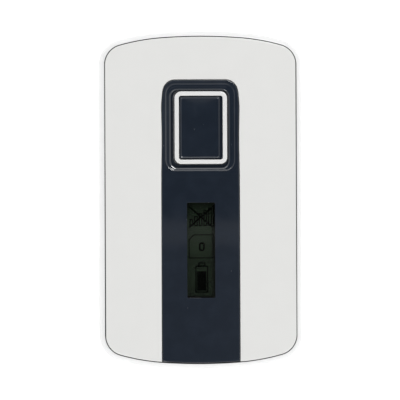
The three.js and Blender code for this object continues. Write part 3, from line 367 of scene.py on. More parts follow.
def rounded(x, y, width, height, radius, steps=CORNER_STEPS, radius_y=None):
    """A rounded rectangle, counter-clockwise."""
    dx = width / 2 - radius
    dy = height / 2 - (radius_y or radius)
    points = []
    for quarter, (sx, sy) in enumerate(((1, 1), (-1, 1), (-1, -1), (1, -1))):
        start = 90 * quarter
        points += arc(x + sx * dx, y + sy * dy, radius, start, start + 90, steps, radius_y)
    return points


def between(first, second, share):
    return [a + (b - a) * share for a, b in zip(first, second)]


def with_side_points(outline):
    """The outline with more points along its straight sides, so that they can bend."""
    points = []
    for start, stop in zip(outline, outline[1:] + outline[:1]):
        steps = SIDE_STEPS if math.dist(start, stop) > STRAIGHT_LENGTH else 1
        points += [between(start, stop, step / steps) for step in range(steps)]
    return points


def waist(y):
    """How far the strip draws in."""
    return sum(far * math.exp(-(((y - place) / reach) ** 2)) for far, place, reach in STRIP_WAISTS)


def strip_side(x, low, high):
    """The strip's right side, upwards."""
    ys = [low + (high - low) * step / STRIP_SIDE_STEPS for step in range(STRIP_SIDE_STEPS + 1)]
    return [(x - waist(y), y) for y in ys]


def strip_top(half, top, radius, radius_y):
    """The strip's top corners, from left to right."""
    points = []
    for sign, start, stop in ((-1, 180, 90), (1, 90, 0)):
        x = sign * (half - radius)
        points += arc(x, top - radius_y, radius, start, stop, STRIP_CORNER_STEPS, radius_y)
    return [(x - waist(y) * x / half, y) for x, y in points]


def lid_outline(inset):
    """The lid's outline round the strip's slot, drawn in from all its edges."""
    slot_inset = inset * SLOT_EDGE_SHARE
    w = slot_half_width + slot_inset
    top = slot_top_y - STRIP_TOP_TRIM + slot_inset
    rx, ry = (radius + SLOT_FIT + slot_inset for radius in STRIP_CORNER)
    grow = SEAM_TRIM - inset
    corner_y = edge_y(w, grow)
    full = quadrant(grow)
    cut = quadrant(grow, first_arc=1)
    side = strip_side(w, -corner_y, top - ry)
    slot = flipped(side[:-1], -1, 1) + strip_top(w, top, rx, ry) + side[-2::-1]
    right = flipped(cut, 1, -1) + full[-2::-1]
    left = flipped(full[1:], -1, 1) + flipped(cut[-2::-1], -1, -1)
    return right + left + [(x + STRIP_SHIFT, y) for x, y in slot]


def strip_end(half, grow):
    """Points along the face's lower edge, between both sides of the strip."""
    xs = [half * (2 * i / STRIP_END_STEPS - 1) for i in range(STRIP_END_STEPS + 1)]
    return [(x, -edge_y(x, grow)) for x in xs]


def strip_outline(inset):
    """The strip's outline, drawn in, from the bottom left corner."""
    w = panel_high.x - inset
    top = panel_high.y - STRIP_TOP_TRIM - inset
    rx, ry = (radius - inset for radius in STRIP_CORNER)
    bottom = strip_end(w, -STRIP_END_TRIM - inset)
    side = strip_side(w, bottom[-1][1], top - ry)
    points = bottom[1:-1] + side[:-1] + strip_top(w, top, rx, ry)[::-1]
    points += flipped(side[-2::-1], -1, 1)
    return [(x + STRIP_SHIFT, y) for x, y in points]


# Mesh building


def ring(bm, outline, height):
    """A loop of vertices over an outline. The height is a number or a function of x and y."""
    rise = height if callable(height) else lambda x, y: height
    return [bm.verts.new((x, y, rise(x, y))) for x, y in outline]


def bridge(bm, first, second):
    count = len(first)
    for i in range(count):
        j = (i + 1) % count
        bm.faces.new((first[i], first[j], second[j], second[i]))


def bridge_all(bm, rings):
    for first, second in zip(rings, rings[1:]):
        bridge(bm, first, second)


def fill(bm, *loops):
    """Fills the region inside the first loop and outside the others."""
    flat = [[Vector((v.co.x, v.co.y, 0)) for v in loop] for loop in loops]
    verts = [v for loop in loops for v in loop]
    return [bm.faces.new([verts[i] for i in triangle]) for triangle in tessellate_polygon(flat)]


def slice_faces(bm, faces, axis, low, high, pitch):
    """Cuts the faces by parallel planes and gives the faces that come of it."""
    normal = Vector((1, 0, 0)) if axis == 0 else Vector((0, 1, 0))
    steps = int((high - low) / pitch) + 1
    for step in range(steps):
        place = normal * (low + (high - low) * (step + 0.5) / steps)
        verts = {v for face in faces for v in face.verts}
        edges = {e for face in faces for e in face.edges}
        geometry = [*verts, *edges, *faces]
        made = bmesh.ops.bisect_plane(
            bm, geom=geometry, plane_co=place, plane_no=normal, dist=MERGE_DISTANCE
        )
        faces = [g for g in made["geom"] if isinstance(g, bmesh.types.BMFace)]
    return faces


def crowned_fill(bm, *loops):
    """Fills between loops on the crowned front and bends the filling to it."""
    faces = slice_faces(bm, fill(bm, *loops), 0, -half_width, half_width, CROWN_PITCH)
    for vert in {v for face in faces for v in face.verts}:
        vert.co.z = front_z - crown(vert.co.x)


def swing(steps, stop=math.pi / 2):
    """Sines and cosines of even angles from zero."""
    angles = [stop * step / steps for step in range(steps + 1)]
    return [(math.sin(angle), math.cos(angle)) for angle in angles]


def edge_profile(radius):
    """Steps of a rounded edge as pairs: how far in, how far down."""
    return [(radius * (1 - cos), radius * (1 - sin)) for sin, cos in swing(EDGE_STEPS)]


def under_crown(drop):
    return lambda x, y: front_z - crown(x) - drop


def crowned_wall(bm, outline, foot_z, edge):
    """A wall up to a rounded edge at the crowned front, over an outline that takes an inset."""
    rings = [ring(bm, outline(0), foot_z)]
    for inset, drop in edge_profile(edge):
        rings.append(ring(bm, outline(inset), under_crown(drop)))
    bridge_all(bm, rings)
    return rings


def crowned_cover(name, outline, foot_z, edge):
    bm = bmesh.new()
    rings = crowned_wall(bm, outline, foot_z, edge)
    crowned_fill(bm, rings[-1])
    fill(bm, rings[0])
    return add_object(name, bm)


def add_to_scene(name, data):
    thing = bpy.data.objects.new(name, data)
    scene.collection.objects.link(thing)
    return thing


def add_object(name, bm):
    bmesh.ops.remove_doubles(bm, verts=bm.verts, dist=MERGE_DISTANCE)
    bmesh.ops.recalc_face_normals(bm, faces=bm.faces)
    mesh = bpy.data.meshes.new(name)
    bm.to_mesh(mesh)
    bm.free()
    return add_to_scene(name, mesh)


replaced = set()


def settle(piece, slot, *nodes, body="root", look=None, angle=CRISP_ANGLE):
    """Shades a finished piece, gives it its material and its body, and hides the nodes it stands
    for.
    """
    if angle:
        piece.data.shade_smooth()
        piece.data.set_sharp_from_angle(angle=math.radians(angle))
        piece.modifiers.new("weighted", "WEIGHTED_NORMAL").keep_sharp = True
    piece.data.materials.clear()
    piece.data.materials.append(materials[look or slot])
    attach(piece, body)
    if nodes:
        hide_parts(*nodes)
        replaced.update(nodes)


def add_loft(bm, *levels):
    """A closed body through outlines at their heights, from the lowest to the highest."""
    rings = [ring(bm, outline, height) for outline, height in levels]
    bridge_all(bm, rings)
    fill(bm, rings[0])
    fill(bm, rings[-1])


def loft(name, *levels):
    bm = bmesh.new()
    add_loft(bm, *levels)
    return add_object(name, bm)


def prism(outline, z0, z1):
    return loft("tool", (outline, z0), (outline, z1))


def block(x0, x1, y0, y1, z0, z1):
    return prism([(x1, y0), (x1, y1), (x0, y1), (x0, y0)], z0, z1)


def slab(half, y0, y1, z0, z1):
    """A block across the middle line."""
    return block(-half, half, y0, y1, z0, z1)


def circle(x, y, radius, sides):
    return arc(x, y, radius, 0, 360 - 360 / sides, sides - 1)


def column(x, y, z0, z1, radius, sides=ROUND_SIDES):
    return prism(circle(x, y, radius, sides), z0, z1)


def turned(name, profile, sides, centre=Vector((0, 0))):
    """A closed body turned about +Z from pairs of radius and height."""
    bm = bmesh.new()
    rings = []
    for radius, height in profile:
        outline = circle(centre.x, centre.y, max(radius, MIN_RADIUS), sides)
        rings.append(ring(bm, outline, height))
    bridge_all(bm, rings)
    return add_object(name, bm)


def combine(piece, operation, tools):
    """Joins tools to a piece or cuts them from it, and removes them."""
    for tool in tools:
        modifier = piece.modifiers.new("combine", "BOOLEAN")
        modifier.operation = operation
        modifier.solver = "MANIFOLD"
        modifier.object = tool
        with bpy.context.temp_override(object=piece):
            bpy.ops.object.modifier_apply(modifier="combine")
        bpy.data.objects.remove(tool)
    return piece


# Materials. A pattern has the size of its features and the levels of noise from 0 up to 1.
CLOUD_BAND = (0.35, 0.65)
LINE_BAND = (0.3, 0.7)
CLOUD = (9 * MM, *CLOUD_BAND)
DISPLAY_CLOUD = (6 * MM, *CLOUD_BAND)
HAZE = (5 * MM, 0.4, 0.75)
PANE_HAZE = (4 * MM, 0.3, 0.8)
METAL_SPOTS = (2.2 * MM, 0.45, 0.7)
TURNED_SPOTS = (1.6 * MM, 0.45, 0.72)
SCRATCHES = (0.35 * MM, 0.66, 0.72, (1, 28, 6))
FINE_SCRATCHES = (0.3 * MM, 0.68, 0.73, (9, 40, 6))
SCRATCH_DEPTH = 0.0006 * MM
SCRATCH_ROUGHNESS = 0.06
FINE_SCRATCH_DEPTH = 0.0004 * MM
MARK_ROUGHNESS = 0.12
POLISH_SIZE = 3.5 * MM
POLISH_SPREAD = 0.04
WAVE_SIZE = 14 * MM
WAVE_DEPTH = 0.006 * MM
METAL_SPREAD = 0.06
SPOT_ROUGHNESS = 0.1
DUST_PITCH = 2.6 * MM
DUST_SIZE = 0.085 * MM
DUST_SHARE = 0.35
HAZE_GAIN = 1.16
HAZE_LIFT = 0.0006
HAZE_ROUGHNESS = 0.03
TURNING_PITCH = 0.12 * MM


def linear(*levels):
    """A colour from 0 to 255 levels, as the shaders take it."""
    shares = [level / 255 for level in levels]
    return [s / 12.92 if s <= 0.04045 else ((s + 0.055) / 1.055) ** 2.4 for s in shares]


class Nodes:
    """The node tree of a material or of the world."""

    def __init__(self, owner):
        owner.use_nodes = True
        self.tree = owner.node_tree
        places = self.add("TexCoord").outputs
        self.where = places["Object"]
        self.direction = places["Generated"]

    def add(self, kind, inputs=(), **values):
        """A node with values for its own settings and for its first inputs."""
        node = self.tree.nodes.new("ShaderNode" + kind)
        for key, value in values.items():
            setattr(node, key, value)
        for value, socket in zip(inputs, node.inputs):
            self.put(value, socket)
        return node

    def put(self, value, socket):
        """Gives a socket a number, a colour or what another socket gives."""
        if isinstance(value, bpy.types.NodeSocket):
            self.tree.links.new(value, socket)
        elif socket.type == "RGBA":
            socket.default_value = [*value[:3], 1]
        else:
            socket.default_value = value

    def place(self, size, stretch=(1, 1, 1)):
        """Coordinates on the object in units of a real size, stretched along an axis."""
        mapping = self.add("Mapping", [self.where])
        mapping.inputs["Scale"].default_value = [1 / (size * s) for s in stretch]
        return mapping.outputs["Vector"]

    def noise(self, size, detail=3, stretch=(1, 1, 1)):
        return self.add("TexNoise", [self.place(size, stretch), 0, 1, detail]).outputs["Fac"]

    def pattern(self, size, low, high, stretch=(1, 1, 1)):
        return self.ramp(self.noise(size, stretch=stretch), low, high)

    def ramp(self, source, low, high, out_low=0, out_high=1):
        return self.add("MapRange", [source, low, high, out_low, out_high]).outputs["Result"]

    def blend(self, share, first, second):
        """A colour between two."""
        node = self.add("Mix", data_type="RGBA")
        for key, value in (("Factor", share), ("A", first), ("B", second)):
            self.put(value, node.inputs[key])
        return node.outputs["Result"]

    def math(self, operation, first, second):
        return self.add("Math", [first, second], operation=operation).outputs[0]

    def bump(self, height, depth, below=None):
        node = self.add("Bump")
        node.inputs["Distance"].default_value = depth
        self.put(height, node.inputs["Height"])
        if below:
            self.put(below, node.inputs["Normal"])
        return node.outputs["Normal"]

    def dust(self):
        """Sparse round specks, 1 inside and 0 outside."""
        node = self.add("TexVoronoi", [self.place(DUST_PITCH), 0, 1])
        inside = self.math("LESS_THAN", node.outputs["Distance"], DUST_SIZE / DUST_PITCH)
        split = self.add("SeparateColor", [node.outputs["Color"]])
        chosen = self.math("LESS_THAN", split.outputs[0], DUST_SHARE)
        return self.math("MULTIPLY", inside, chosen)

    def set(self, **values):
        """Puts values or sockets on the shader's own inputs."""
        shader = self.tree.nodes["Principled BSDF"]
        for key, value in values.items():
            self.put(value, shader.inputs[key.replace("_", " ")])


materials = {}


def new_material(name):
    materials[name] = bpy.data.materials.new(name)
    return Nodes(materials[name])


def dimmed(colour, share):
    return [c * share for c in colour]


def moulded(name, colour, rough, grain=0.22 * MM, depth=0.004 * MM, tone=0.05):
    """Moulded plastic: fine grain, faint cloudy tone, uneven polish and hairline scratches."""
    n = new_material(name)
    base = n.blend(n.pattern(*CLOUD), colour, dimmed(colour, 1 - tone))
    scratch = n.pattern(*SCRATCHES)
    low, high = rough - POLISH_SPREAD, rough + POLISH_SPREAD
    polish = n.ramp(n.noise(POLISH_SIZE), *LINE_BAND, low, high)
    worn = n.math("ADD", polish, n.math("MULTIPLY", scratch, SCRATCH_ROUGHNESS))
    relief = n.bump(scratch, SCRATCH_DEPTH, n.bump(n.noise(grain, detail=4), depth))
    n.set(Base_Color=base, Roughness=worn, Normal=relief)


def polished(name, colour, rough, gloss=0.5):
    """Glossy dark plastic: slow waviness, wiped haze, fine scratches and a few specks of dust."""
    n = new_material(name)
    haze = n.pattern(*HAZE)
    scratch = n.pattern(*FINE_SCRATCHES)
    speck = n.dust()
    hazy = [c * HAZE_GAIN + HAZE_LIFT for c in colour]
    base = n.blend(speck, n.blend(haze, colour, hazy), linear(120, 124, 130))
    polish = n.ramp(haze, 0, 1, rough, rough + HAZE_ROUGHNESS)
    marks = n.math("MAXIMUM", scratch, speck)
    worn = n.math("ADD", polish, n.math("MULTIPLY", marks, MARK_ROUGHNESS))
    wave = n.bump(n.noise(WAVE_SIZE, detail=1), WAVE_DEPTH)
    relief = n.bump(scratch, FINE_SCRATCH_DEPTH, wave)
    n.set(Base_Color=base, Roughness=worn, Normal=relief, Specular_IOR_Level=gloss)


def metal(name, colour, rough, stretch=(1, 1, 30)):
    """Plated or brushed metal with drawn lines and dull spots."""
    n = new_material(name)
    lines = n.noise(0.18 * MM, stretch=stretch)
    spots = n.pattern(*METAL_SPOTS)
    base = n.blend(spots, colour, dimmed(colour, 0.82))
    drawn = n.ramp(lines, *LINE_BAND, rough - METAL_SPREAD, rough + METAL_SPREAD)
    polish = n.math("ADD", drawn, n.math("MULTIPLY", spots, SPOT_ROUGHNESS))
    relief = n.bump(lines, 0.001 * MM)
    n.set(Base_Color=base, Roughness=polish, Metallic=1, Normal=relief)


def soft(name, colour, rough, cell=0.5 * MM, depth=0.03 * MM):
    """Rubber, silicone or foam with a pitted skin."""
    n = new_material(name)
    pits = n.noise(cell, detail=5)
    base = n.blend(n.ramp(pits, *CLOUD_BAND), colour, dimmed(colour, 0.75))
    n.set(Base_Color=base, Roughness=rough, Normal=n.bump(pits, depth))


def turned_metal(name, colour, centre):
    """Steel with the fine concentric lines that turning leaves."""
    n = new_material(name)
    offset = n.add("VectorMath", [n.where, centre], operation="SUBTRACT")
    length = n.add("VectorMath", [offset.outputs["Vector"]], operation="LENGTH")
    inputs = [n.where, length.outputs["Value"], 1 / TURNING_PITCH, 3]
    lines = n.add("TexNoise", inputs, noise_dimensions="1D").outputs["Fac"]
    spots = n.pattern(*TURNED_SPOTS)
    base = n.blend(spots, colour, dimmed(colour, 0.85))
    polish = n.ramp(lines, *LINE_BAND, 0.18, 0.34)
    relief = n.bump(lines, 0.0012 * MM)
    n.set(Base_Color=base, Roughness=polish, Metallic=1, Normal=relief)


def clear_pane():
    n = new_material("clear_window")
    polish = n.ramp(n.pattern(*PANE_HAZE), 0, 1, 0.02, 0.09)
    n.set(Base_Color=linear(6, 8, 7), Roughness=polish, Alpha=0.12)


def display_face():
    """Reflective display: dark green with fine lines, with painted shade towards its right, bottom
    and top edges and darker below its middle.
    """
    n = new_material("display_green")
    x, y, _ = n.add("SeparateXYZ", [n.where]).outputs
    shades = (
        (x, WINDOW_WIDTH / 2, -1, DISPLAY_SIDE_PAINTED_SHADE),
        (y, window_y - WINDOW_HEIGHT / 2, 1, DISPLAY_END_PAINTED_SHADE),
        (y, window_y + WINDOW_HEIGHT / 2, -1, DISPLAY_TOP_PAINTED_SHADE),
        (y, window_y, 1, DISPLAY_LOW_DARKENING),
    )
    # Painted shade: the first three ramps darken the display towards its right, bottom and top
    # edges, and the last darkens it below its middle
    dark = 0
    for place, edge, inwards, (start, full, depth) in shades:
        darkening = n.ramp(place, edge + inwards * start, edge + inwards * full, 0, depth)
        dark = n.math("MAXIMUM", dark, darkening)
    lines = n.noise(0.3 * MM, stretch=(1, 60, 1))
    tone = n.blend(n.pattern(*DISPLAY_CLOUD), linear(40, 53, 39), linear(35, 46, 34))
    base = n.blend(n.ramp(lines, *LINE_BAND), tone, linear(36, 48, 35))
    shaded = n.blend(dark, base, linear(4, 6, 4))
    polish = n.ramp(lines, *LINE_BAND, 0.03, 0.06)
    n.set(Base_Color=shaded, Roughness=polish, Specular_IOR_Level=0.6)


def display_ink():
    """Dark display segments with a faint grain."""
    n = new_material("display_ink")
    base = n.blend(n.noise(0.15 * MM, detail=5), linear(1, 2, 1), linear(5, 7, 5))
    n.set(Base_Color=base, Roughness=0.9, Specular_IOR_Level=0)


moulded("white_shell", linear(236, 236, 236), 0.32, tone=0.012)
moulded("grey_shell", linear(230, 230, 228), 0.16, 1.1 * MM, 0.002 * MM, 0.01)
moulded("white_ring", linear(229, 229, 228), 0.14, depth=0.001 * MM, tone=0.01)
moulded("grey_plastic", linear(150, 152, 155), 0.45)
moulded("board_green", linear(24, 92, 52), 0.3, grain=0.6 * MM, tone=0.3)
moulded("chip_black", linear(30, 31, 33), 0.5, grain=0.08 * MM)
moulded("ceramic", linear(214, 207, 188), 0.55)
moulded("capacitor_yellow", linear(205, 165, 60), 0.5)
moulded("label_film", linear(214, 215, 213), 0.55, grain=0.12 * MM)
polished("navy_panel", linear(29, 36, 46), 0.035, gloss=0.6)
polished("cell_wrap", linear(48, 74, 108), 0.3)
metal("bright_steel", linear(200, 202, 205), 0.28)
metal("screw_steel", linear(178, 179, 182), 0.34, stretch=(1, 1, 4))
metal("gold_contact", linear(214, 178, 92), 0.24)
soft("seam_seal", linear(34, 35, 37), 0.6, cell=0.2 * MM, depth=0.01 * MM)
soft("foam", linear(38, 40, 42), 0.95)
soft("silicone", linear(200, 199, 190), 0.6, cell=0.8 * MM, depth=0.01 * MM)
clear_pane()
display_face()
display_ink()


# Front shell round the strip's slot
def build_lid():
    lid = crowned_cover("lid", lid_outline, seat_z, LID_EDGE)
    settle(lid, "grey_shell", "front_shell")


def build_seal():
    bm = bmesh.new()
    reach = (seam_grow - SEAM_TRIM) / 2
    top = front_z - seal_high.z
    rings = [ring(bm, housing_outline(seam_grow), seat_z)]
    for sin, cos in swing(SEAL_STEPS, math.pi):
        grow = seam_grow - reach * (1 - cos)
        drop = top + reach * (1 - sin)
        rings.append(ring(bm, housing_outline(grow), under_crown(drop)))
    rings.append(ring(bm, housing_outline(SEAM_TRIM), seat_z))
    bridge_all(bm, [*rings, rings[0]])
    foot = strip_end(panel_high.x, SEAL_FOOT_REACH) + strip_end(panel_high.x, -STRIP_END_TRIM)[::-1]
    add_loft(bm, (foot, seat_z), (foot, under_crown(2 * top)))
    settle(add_object("seam_seal", bm), "seam_seal", "perimeter_seal")


# Navy strip with the key's pocket and the display opening
def pocket_outline(x0, y0, x1, y1, rx, ry):
    points = rounded((x0 + x1) / 2, (y0 + y1) / 2, x1 - x0, y1 - y0, rx, POCKET_CORNER_STEPS, ry)
    return [(x * MM, y * MM + key_y) for x, y in points]


def soft_step(share):
    return share**2 * (3 - 2 * share)


def round_off(share):
    return share**2


def key_opening(grow):
    width = ring_high.x - ring_low.x + 2 * (KEY_CLEARANCE + grow)
    height = ring_high.y - ring_low.y + 2 * (KEY_CLEARANCE + grow)
    radius = KEY_CORNER_RADIUS + KEY_CLEARANCE + grow
    return rounded(0, key_y, width, height, radius, POCKET_CORNER_STEPS)


def window_outline(grow):
    width = WINDOW_WIDTH + 2 * grow
    height = WINDOW_HEIGHT + 2 * grow
    return rounded(0, window_y, width, height, WINDOW_CORNER_RADIUS + grow, SMALL_CORNER_STEPS)


def pocket_rings(bm):
    """Rings of the pocket: shoulder, slope, terrace, lip, the moat round the key and its hole."""
    rings = []
    for start, stop in zip(POCKET_FORM, POCKET_FORM[1:]):
        fall = round_off if stop is POCKET_FORM[-1] else soft_step
        for step in range(POCKET_STEPS):
            share = step / POCKET_STEPS
            outline = pocket_outline(*between(start, stop, share)[:-1])
            drop = between(start, stop, fall(share))[-1] * MM
            rings.append(ring(bm, outline, under_crown(drop)))
    *form, drop = stop
    lip = pocket_outline(*form)
    rings.append(ring(bm, lip, under_crown(drop * MM)))
    floor = front_z - MOAT_DEPTH
    rings.append(ring(bm, lip, floor))
    for inset, drop in edge_profile(HOLE_EDGE)[::-1]:
        rings.append(ring(bm, key_opening(inset), floor - drop))
    rings.append(ring(bm, key_opening(0), panel_low.z))
    return rings


def build_panel():
    bm = bmesh.new()
    outer = crowned_wall(bm, strip_outline, panel_bottom_z, STRIP_EDGE)
    pocket = pocket_rings(bm)
    for z in (panel_low.z, panel_bottom_z):
        pocket.append(ring(bm, key_opening(HOLE_WALL), z))
    bridge_all(bm, pocket)
    window = crowned_wall(bm, window_outline, panel_bottom_z, WINDOW_EDGE)
    crowned_fill(bm, outer[-1], pocket[0], window[-1])
    fill(bm, outer[0], pocket[-1], window[0])
    panel = add_object("navy_strip", bm)
    settle(panel, "navy_panel", "centre_panel", angle=PANEL_CRISP_ANGLE)


# Event key
def ring_outline(inset, radius):
    width = ring_high.x - ring_low.x - 2 * (RING_SHRINK + inset)
    height = ring_high.y - ring_low.y - RING_SHRINK - 2 * inset
    return rounded(RING_SHIFT, ring_y, width, height, radius)


def ring_opening(grow):
    return ring_outline(RING_WIDTH - grow, PAD_CORNER_RADIUS + grow)


def build_key_ring():
    outer = lambda inset: ring_outline(inset, KEY_CORNER_RADIUS - inset)
    bm = bmesh.new()
    rings = [ring(bm, outer(0), ring_low.z)]
    for inset, drop in edge_profile(RING_EDGE):
        rings.append(ring(bm, outer(inset), ring_high.z - drop))
    for grow, drop in edge_profile(RING_INNER_EDGE)[::-1]:
        rings.append(ring(bm, ring_opening(grow), ring_high.z - drop))
    rings.append(ring(bm, ring_opening(0), ring_low.z))
    bridge_all(bm, [*rings, rings[0]])
    settle(add_object("key_frame", bm), "white_ring", "key_ring", body="event_key")


def build_key_pad():
    width = ring_high.x - ring_low.x - 2 * (RING_SHRINK + RING_WIDTH + PAD_FIT)
    height = ring_high.y - ring_low.y - RING_SHRINK - 2 * (RING_WIDTH + PAD_END_FIT)
    top = pad_high.z

    def outline(inset):
        radius = PAD_TOP_RADIUS + inset / 4
        return rounded(PAD_SHIFT, ring_y, width - 2 * inset, height - 2 * inset, radius)

    def scoop(x, y):
        across = 1 - PAD_SIDE_DISH * ((x - PAD_SHIFT) / half_x) ** 2
        along = 1 - ((y - ring_y) / half_y) ** 2
        return PAD_DISH * across * max(along, 0)

    profile = edge_profile(PAD_EDGE)
    for step in range(PAD_STEP_COUNT + 1):
        share = step / PAD_STEP_COUNT
        profile.append((PAD_EDGE + PAD_LIP + PAD_STEP_RUN * share, PAD_STEP * soft_step(share)))
    bm = bmesh.new()
    half_x = width / 2
    half_y = height / 2
    flange = with_side_points(ring_opening(-PAD_GROOVE_FIT))
    groove_z = top - PAD_GROOVE
    rings = [ring(bm, flange, pad_low.z), ring(bm, flange, groove_z)]
    rings.append(ring(bm, with_side_points(outline(0)), groove_z))
    for inset, drop in profile:
        level = lambda x, y, drop=drop: top - drop - scoop(x, y)
        rings.append(ring(bm, with_side_points(outline(inset)), level))
    bridge_all(bm, rings)
    faces = slice_faces(bm, fill(bm, rings[-1]), 0, -half_x, half_x, PAD_PITCH)
    faces = slice_faces(bm, faces, 1, ring_y - half_y, ring_y + half_y, PAD_PITCH)
    for vert in {v for face in faces for v in face.verts}:
        vert.co.z = top - PAD_STEP - scoop(vert.co.x, vert.co.y)
    fill(bm, rings[0])
    pad = add_object("key_top", bm)
    settle(pad, "navy_panel", "key_pad", body="event_key", angle=PAD_CRISP_ANGLE)


def build_dome():
    """Rubber dome under the key: a soft skirt and cap."""
    low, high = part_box("key_dome")
    centre = (low + high) / 2
    foot = (high.x - low.x) / 2
    cap = foot * DOME_CAP_SHARE
    height = high.z - low.z
    rise = height - DOME_FOOT
    inner_rise = rise - DOME_FOOT / 2
    outer = []
    inner = []
    for step in range(DOME_STEPS + 1):
        share = step / DOME_STEPS
        radius = foot - (foot - cap) * soft_step(share)
        outer.append((radius, low.z + DOME_FOOT + rise * share))
        inner.append((radius - DOME_SKIN, low.z + DOME_FOOT / 2 + inner_rise * share))
    base = [(foot - DOME_SKIN, low.z), (foot, low.z)]
    profile = [(0, inner[-1][1]), *inner[::-1], *base, *outer, (0, high.z)]
    dome = turned("rubber_dome", profile, DOME_SIDES, centre)
    settle(dome, "silicone", "key_dome", angle=DOME_CRISP_ANGLE)
    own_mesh(dome)


# Display
def build_window():
    outline = lambda inset: window_outline(-WINDOW_FIT - inset)
    pane = crowned_cover("window_pane", outline, window_low.z, WINDOW_EDGE)
    settle(pane, "clear_window", "display_window")


def build_display():
    width = glass_high.x - glass_low.x
    height = glass_high.y - glass_low.y
    outline = rounded(0, window_y, width, height, GLASS_CORNER_RADIUS, GLASS_CORNER_STEPS)
    face = loft("display_cell", (outline, glass_low.z), (outline, glass_high.z))
    settle(face, "display_green", "display_glass")


def ink_line(bm, start, stop, width=INK_WIDTH):
    """A straight stroke between two points of the display."""
    start, stop = Vector(start), Vector(stop)
    along = (stop - start).normalized() * width / 2
    side = Vector((-along.y, along.x))
    low, high = start - along, stop + along
    ink_area(bm, [low - side, high - side, high + side, low + side])


def ink_area(bm, corners):
    outline = [(x + INK_SHIFT, y + window_y) for x, y in corners]
    add_loft(bm, (outline, glass_high.z), (outline, glass_high.z + INK_THICKNESS))


def ink_loop(bm, corners, width=INK_WIDTH):
    for start, stop in zip(corners, corners[1:] + corners[:1]):
        ink_line(bm, start, stop, width)


def corners_of(box):
    x0, y0, x1, y1 = box
    return [(x0, y0), (x1, y0), (x1, y1), (x0, y1)]


def round_corners_of(box, radius):
    x0, y0, x1, y1 = box
    return rounded((x0 + x1) / 2, (y0 + y1) / 2, x1 - x0, y1 - y0, radius, SMALL_CORNER_STEPS)


def build_pictograms():
    """Signal bars crossed out, a memory card with a nought and a full battery."""
    bm = bmesh.new()
    corners = corners_of(CROSS_BOX)
    for start, stop in zip(corners[:2], corners[2:]):
        ink_line(bm, start, stop)
    for i in range(BAR_COUNT):
        left = BAR_START + i * BAR_PITCH
        right = min(left + BAR_WIDTH, BAR_REACH)
        height = BAR_HEIGHTS[0] + (BAR_HEIGHTS[1] - BAR_HEIGHTS[0]) * i / (BAR_COUNT - 1)
        ink_loop(bm, corners_of((left, BAR_FOOT, right, BAR_FOOT + height)), FINE_INK_WIDTH)
    *corners, (x, y) = corners_of(CARD_BOX)
    ink_loop(bm, [*corners, (x + CARD_CUT, y), (x, y - CARD_CUT)], CARD_INK_WIDTH)
    ink_loop(bm, round_corners_of(ZERO_BOX, ZERO_RADIUS), ZERO_INK_WIDTH)
    ink_loop(bm, round_corners_of(BATTERY_BOX, BATTERY_RADIUS), BATTERY_INK_WIDTH)
    ink_loop(bm, corners_of(BATTERY_CAP), BATTERY_INK_WIDTH)
    ink_area(bm, corners_of(BATTERY_FILL))
    icons = add_object("display_pictograms", bm)
    settle(icons, "display_green", look="display_ink", angle=None)


# Housing with its bay, and the battery door that closes it
def housing_solid(name):
    """The housing without its hollows, from the back up to the seam."""
    levels = []
    for sin, cos in swing(BACK_STEPS):
        inset = SIDE_DRAFT + BACK_EDGE_RADIUS * (1 - sin)
        height = back_z + BACK_EDGE_RADIUS * (1 - cos)
        levels.append((housing_outline(housing_grow - inset), height))
    draft_z = back_z + BACK_EDGE_RADIUS + SIDE_DRAFT_HEIGHT
    levels.append((housing_outline(housing_grow), draft_z))
    round_z = front_z - RIM_STEP - RIM_ROUND_HEIGHT
    top = under_crown(RIM_STEP)
    for sin, cos in swing(RIM_STEPS):
        level = lambda x, y, share=sin: round_z + share * (top(x, y) - round_z)
        levels.append((housing_outline(housing_grow - rim_width * (1 - cos)), level))
    levels.append((housing_outline(-LEDGE), top))
    return loft(name, *levels)


def soften(piece, width):
    """A small round on the real corners."""
    bevel = piece.modifiers.new("edge", "BEVEL")
    bevel.width = width
    bevel.segments = BEVEL_SEGMENTS
    bevel.limit_method = "ANGLE"
    bevel.angle_limit = BEVEL_ANGLE
    bevel.harden_normals = True


def door_recess():
    narrow = door_half_width + DOOR_CLEARANCE
    wide = door_half_width + RAIL_WIDTH + 2 * DOOR_CLEARANCE
    tongue = TONGUE_HALF_WIDTH + DOOR_CLEARANCE
    top = door_top_y + DOOR_CLEARANCE
    groove_z = door_rail_z - DOOR_CLEARANCE
    return [
        slab(narrow, -FAR, top, -OVERRUN, cell_bottom_z),
        slab(wide, -FAR, top, groove_z, cell_bottom_z),
        slab(tongue, door_top_y, top + TONGUE_LENGTH, groove_z, cell_bottom_z),
    ]


def housing_posts():
    posts = [(f"housing_screw_{corner}", BOSS_RADIUS) for corner in CORNERS]
    posts += [(f"board_screw_{side}", POST_RADIUS) for side in ("left", "right")]
    return [column(*middle(n).xy, floor_z - OVERRUN, board_low.z, radius) for n, radius in posts]


def housing_holes():
    holes = []
    for corner in CORNERS:
        low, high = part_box(f"housing_screw_{corner}")
        x, y, _ = (low + high) / 2
        head_radius = (high.x - low.x) / 2 + SCREW_HEAD_CLEARANCE
        holes.append(column(x, y, -OVERRUN, low.z + SCREW_HEAD_HEIGHT, head_radius))
        holes.append(column(x, y, -OVERRUN, FAR, SCREW_HOLE_RADIUS))
        x, y, _ = middle(f"electrode_{corner}")
        seat_radius = ELECTRODE_RADIUS + ELECTRODE_FIT
        holes.append(column(x, y, -OVERRUN, electrode_seat_z, seat_radius, ELECTRODE_SIDES))
        holes.append(column(x, y, -OVERRUN, floor_z + OVERRUN, SHANK_RADIUS + ELECTRODE_FIT))
    x, y, _ = middle("buzzer")
    holes.append(column(x, y, -OVERRUN, floor_z + OVERRUN, SOUND_HOLE_RADIUS))
    for sx, sy in circle(x, y, SOUND_HOLE_RING, SOUND_HOLE_COUNT):
        holes.append(column(sx, sy, -OVERRUN, floor_z + OVERRUN, SOUND_HOLE_RADIUS))
    return holes


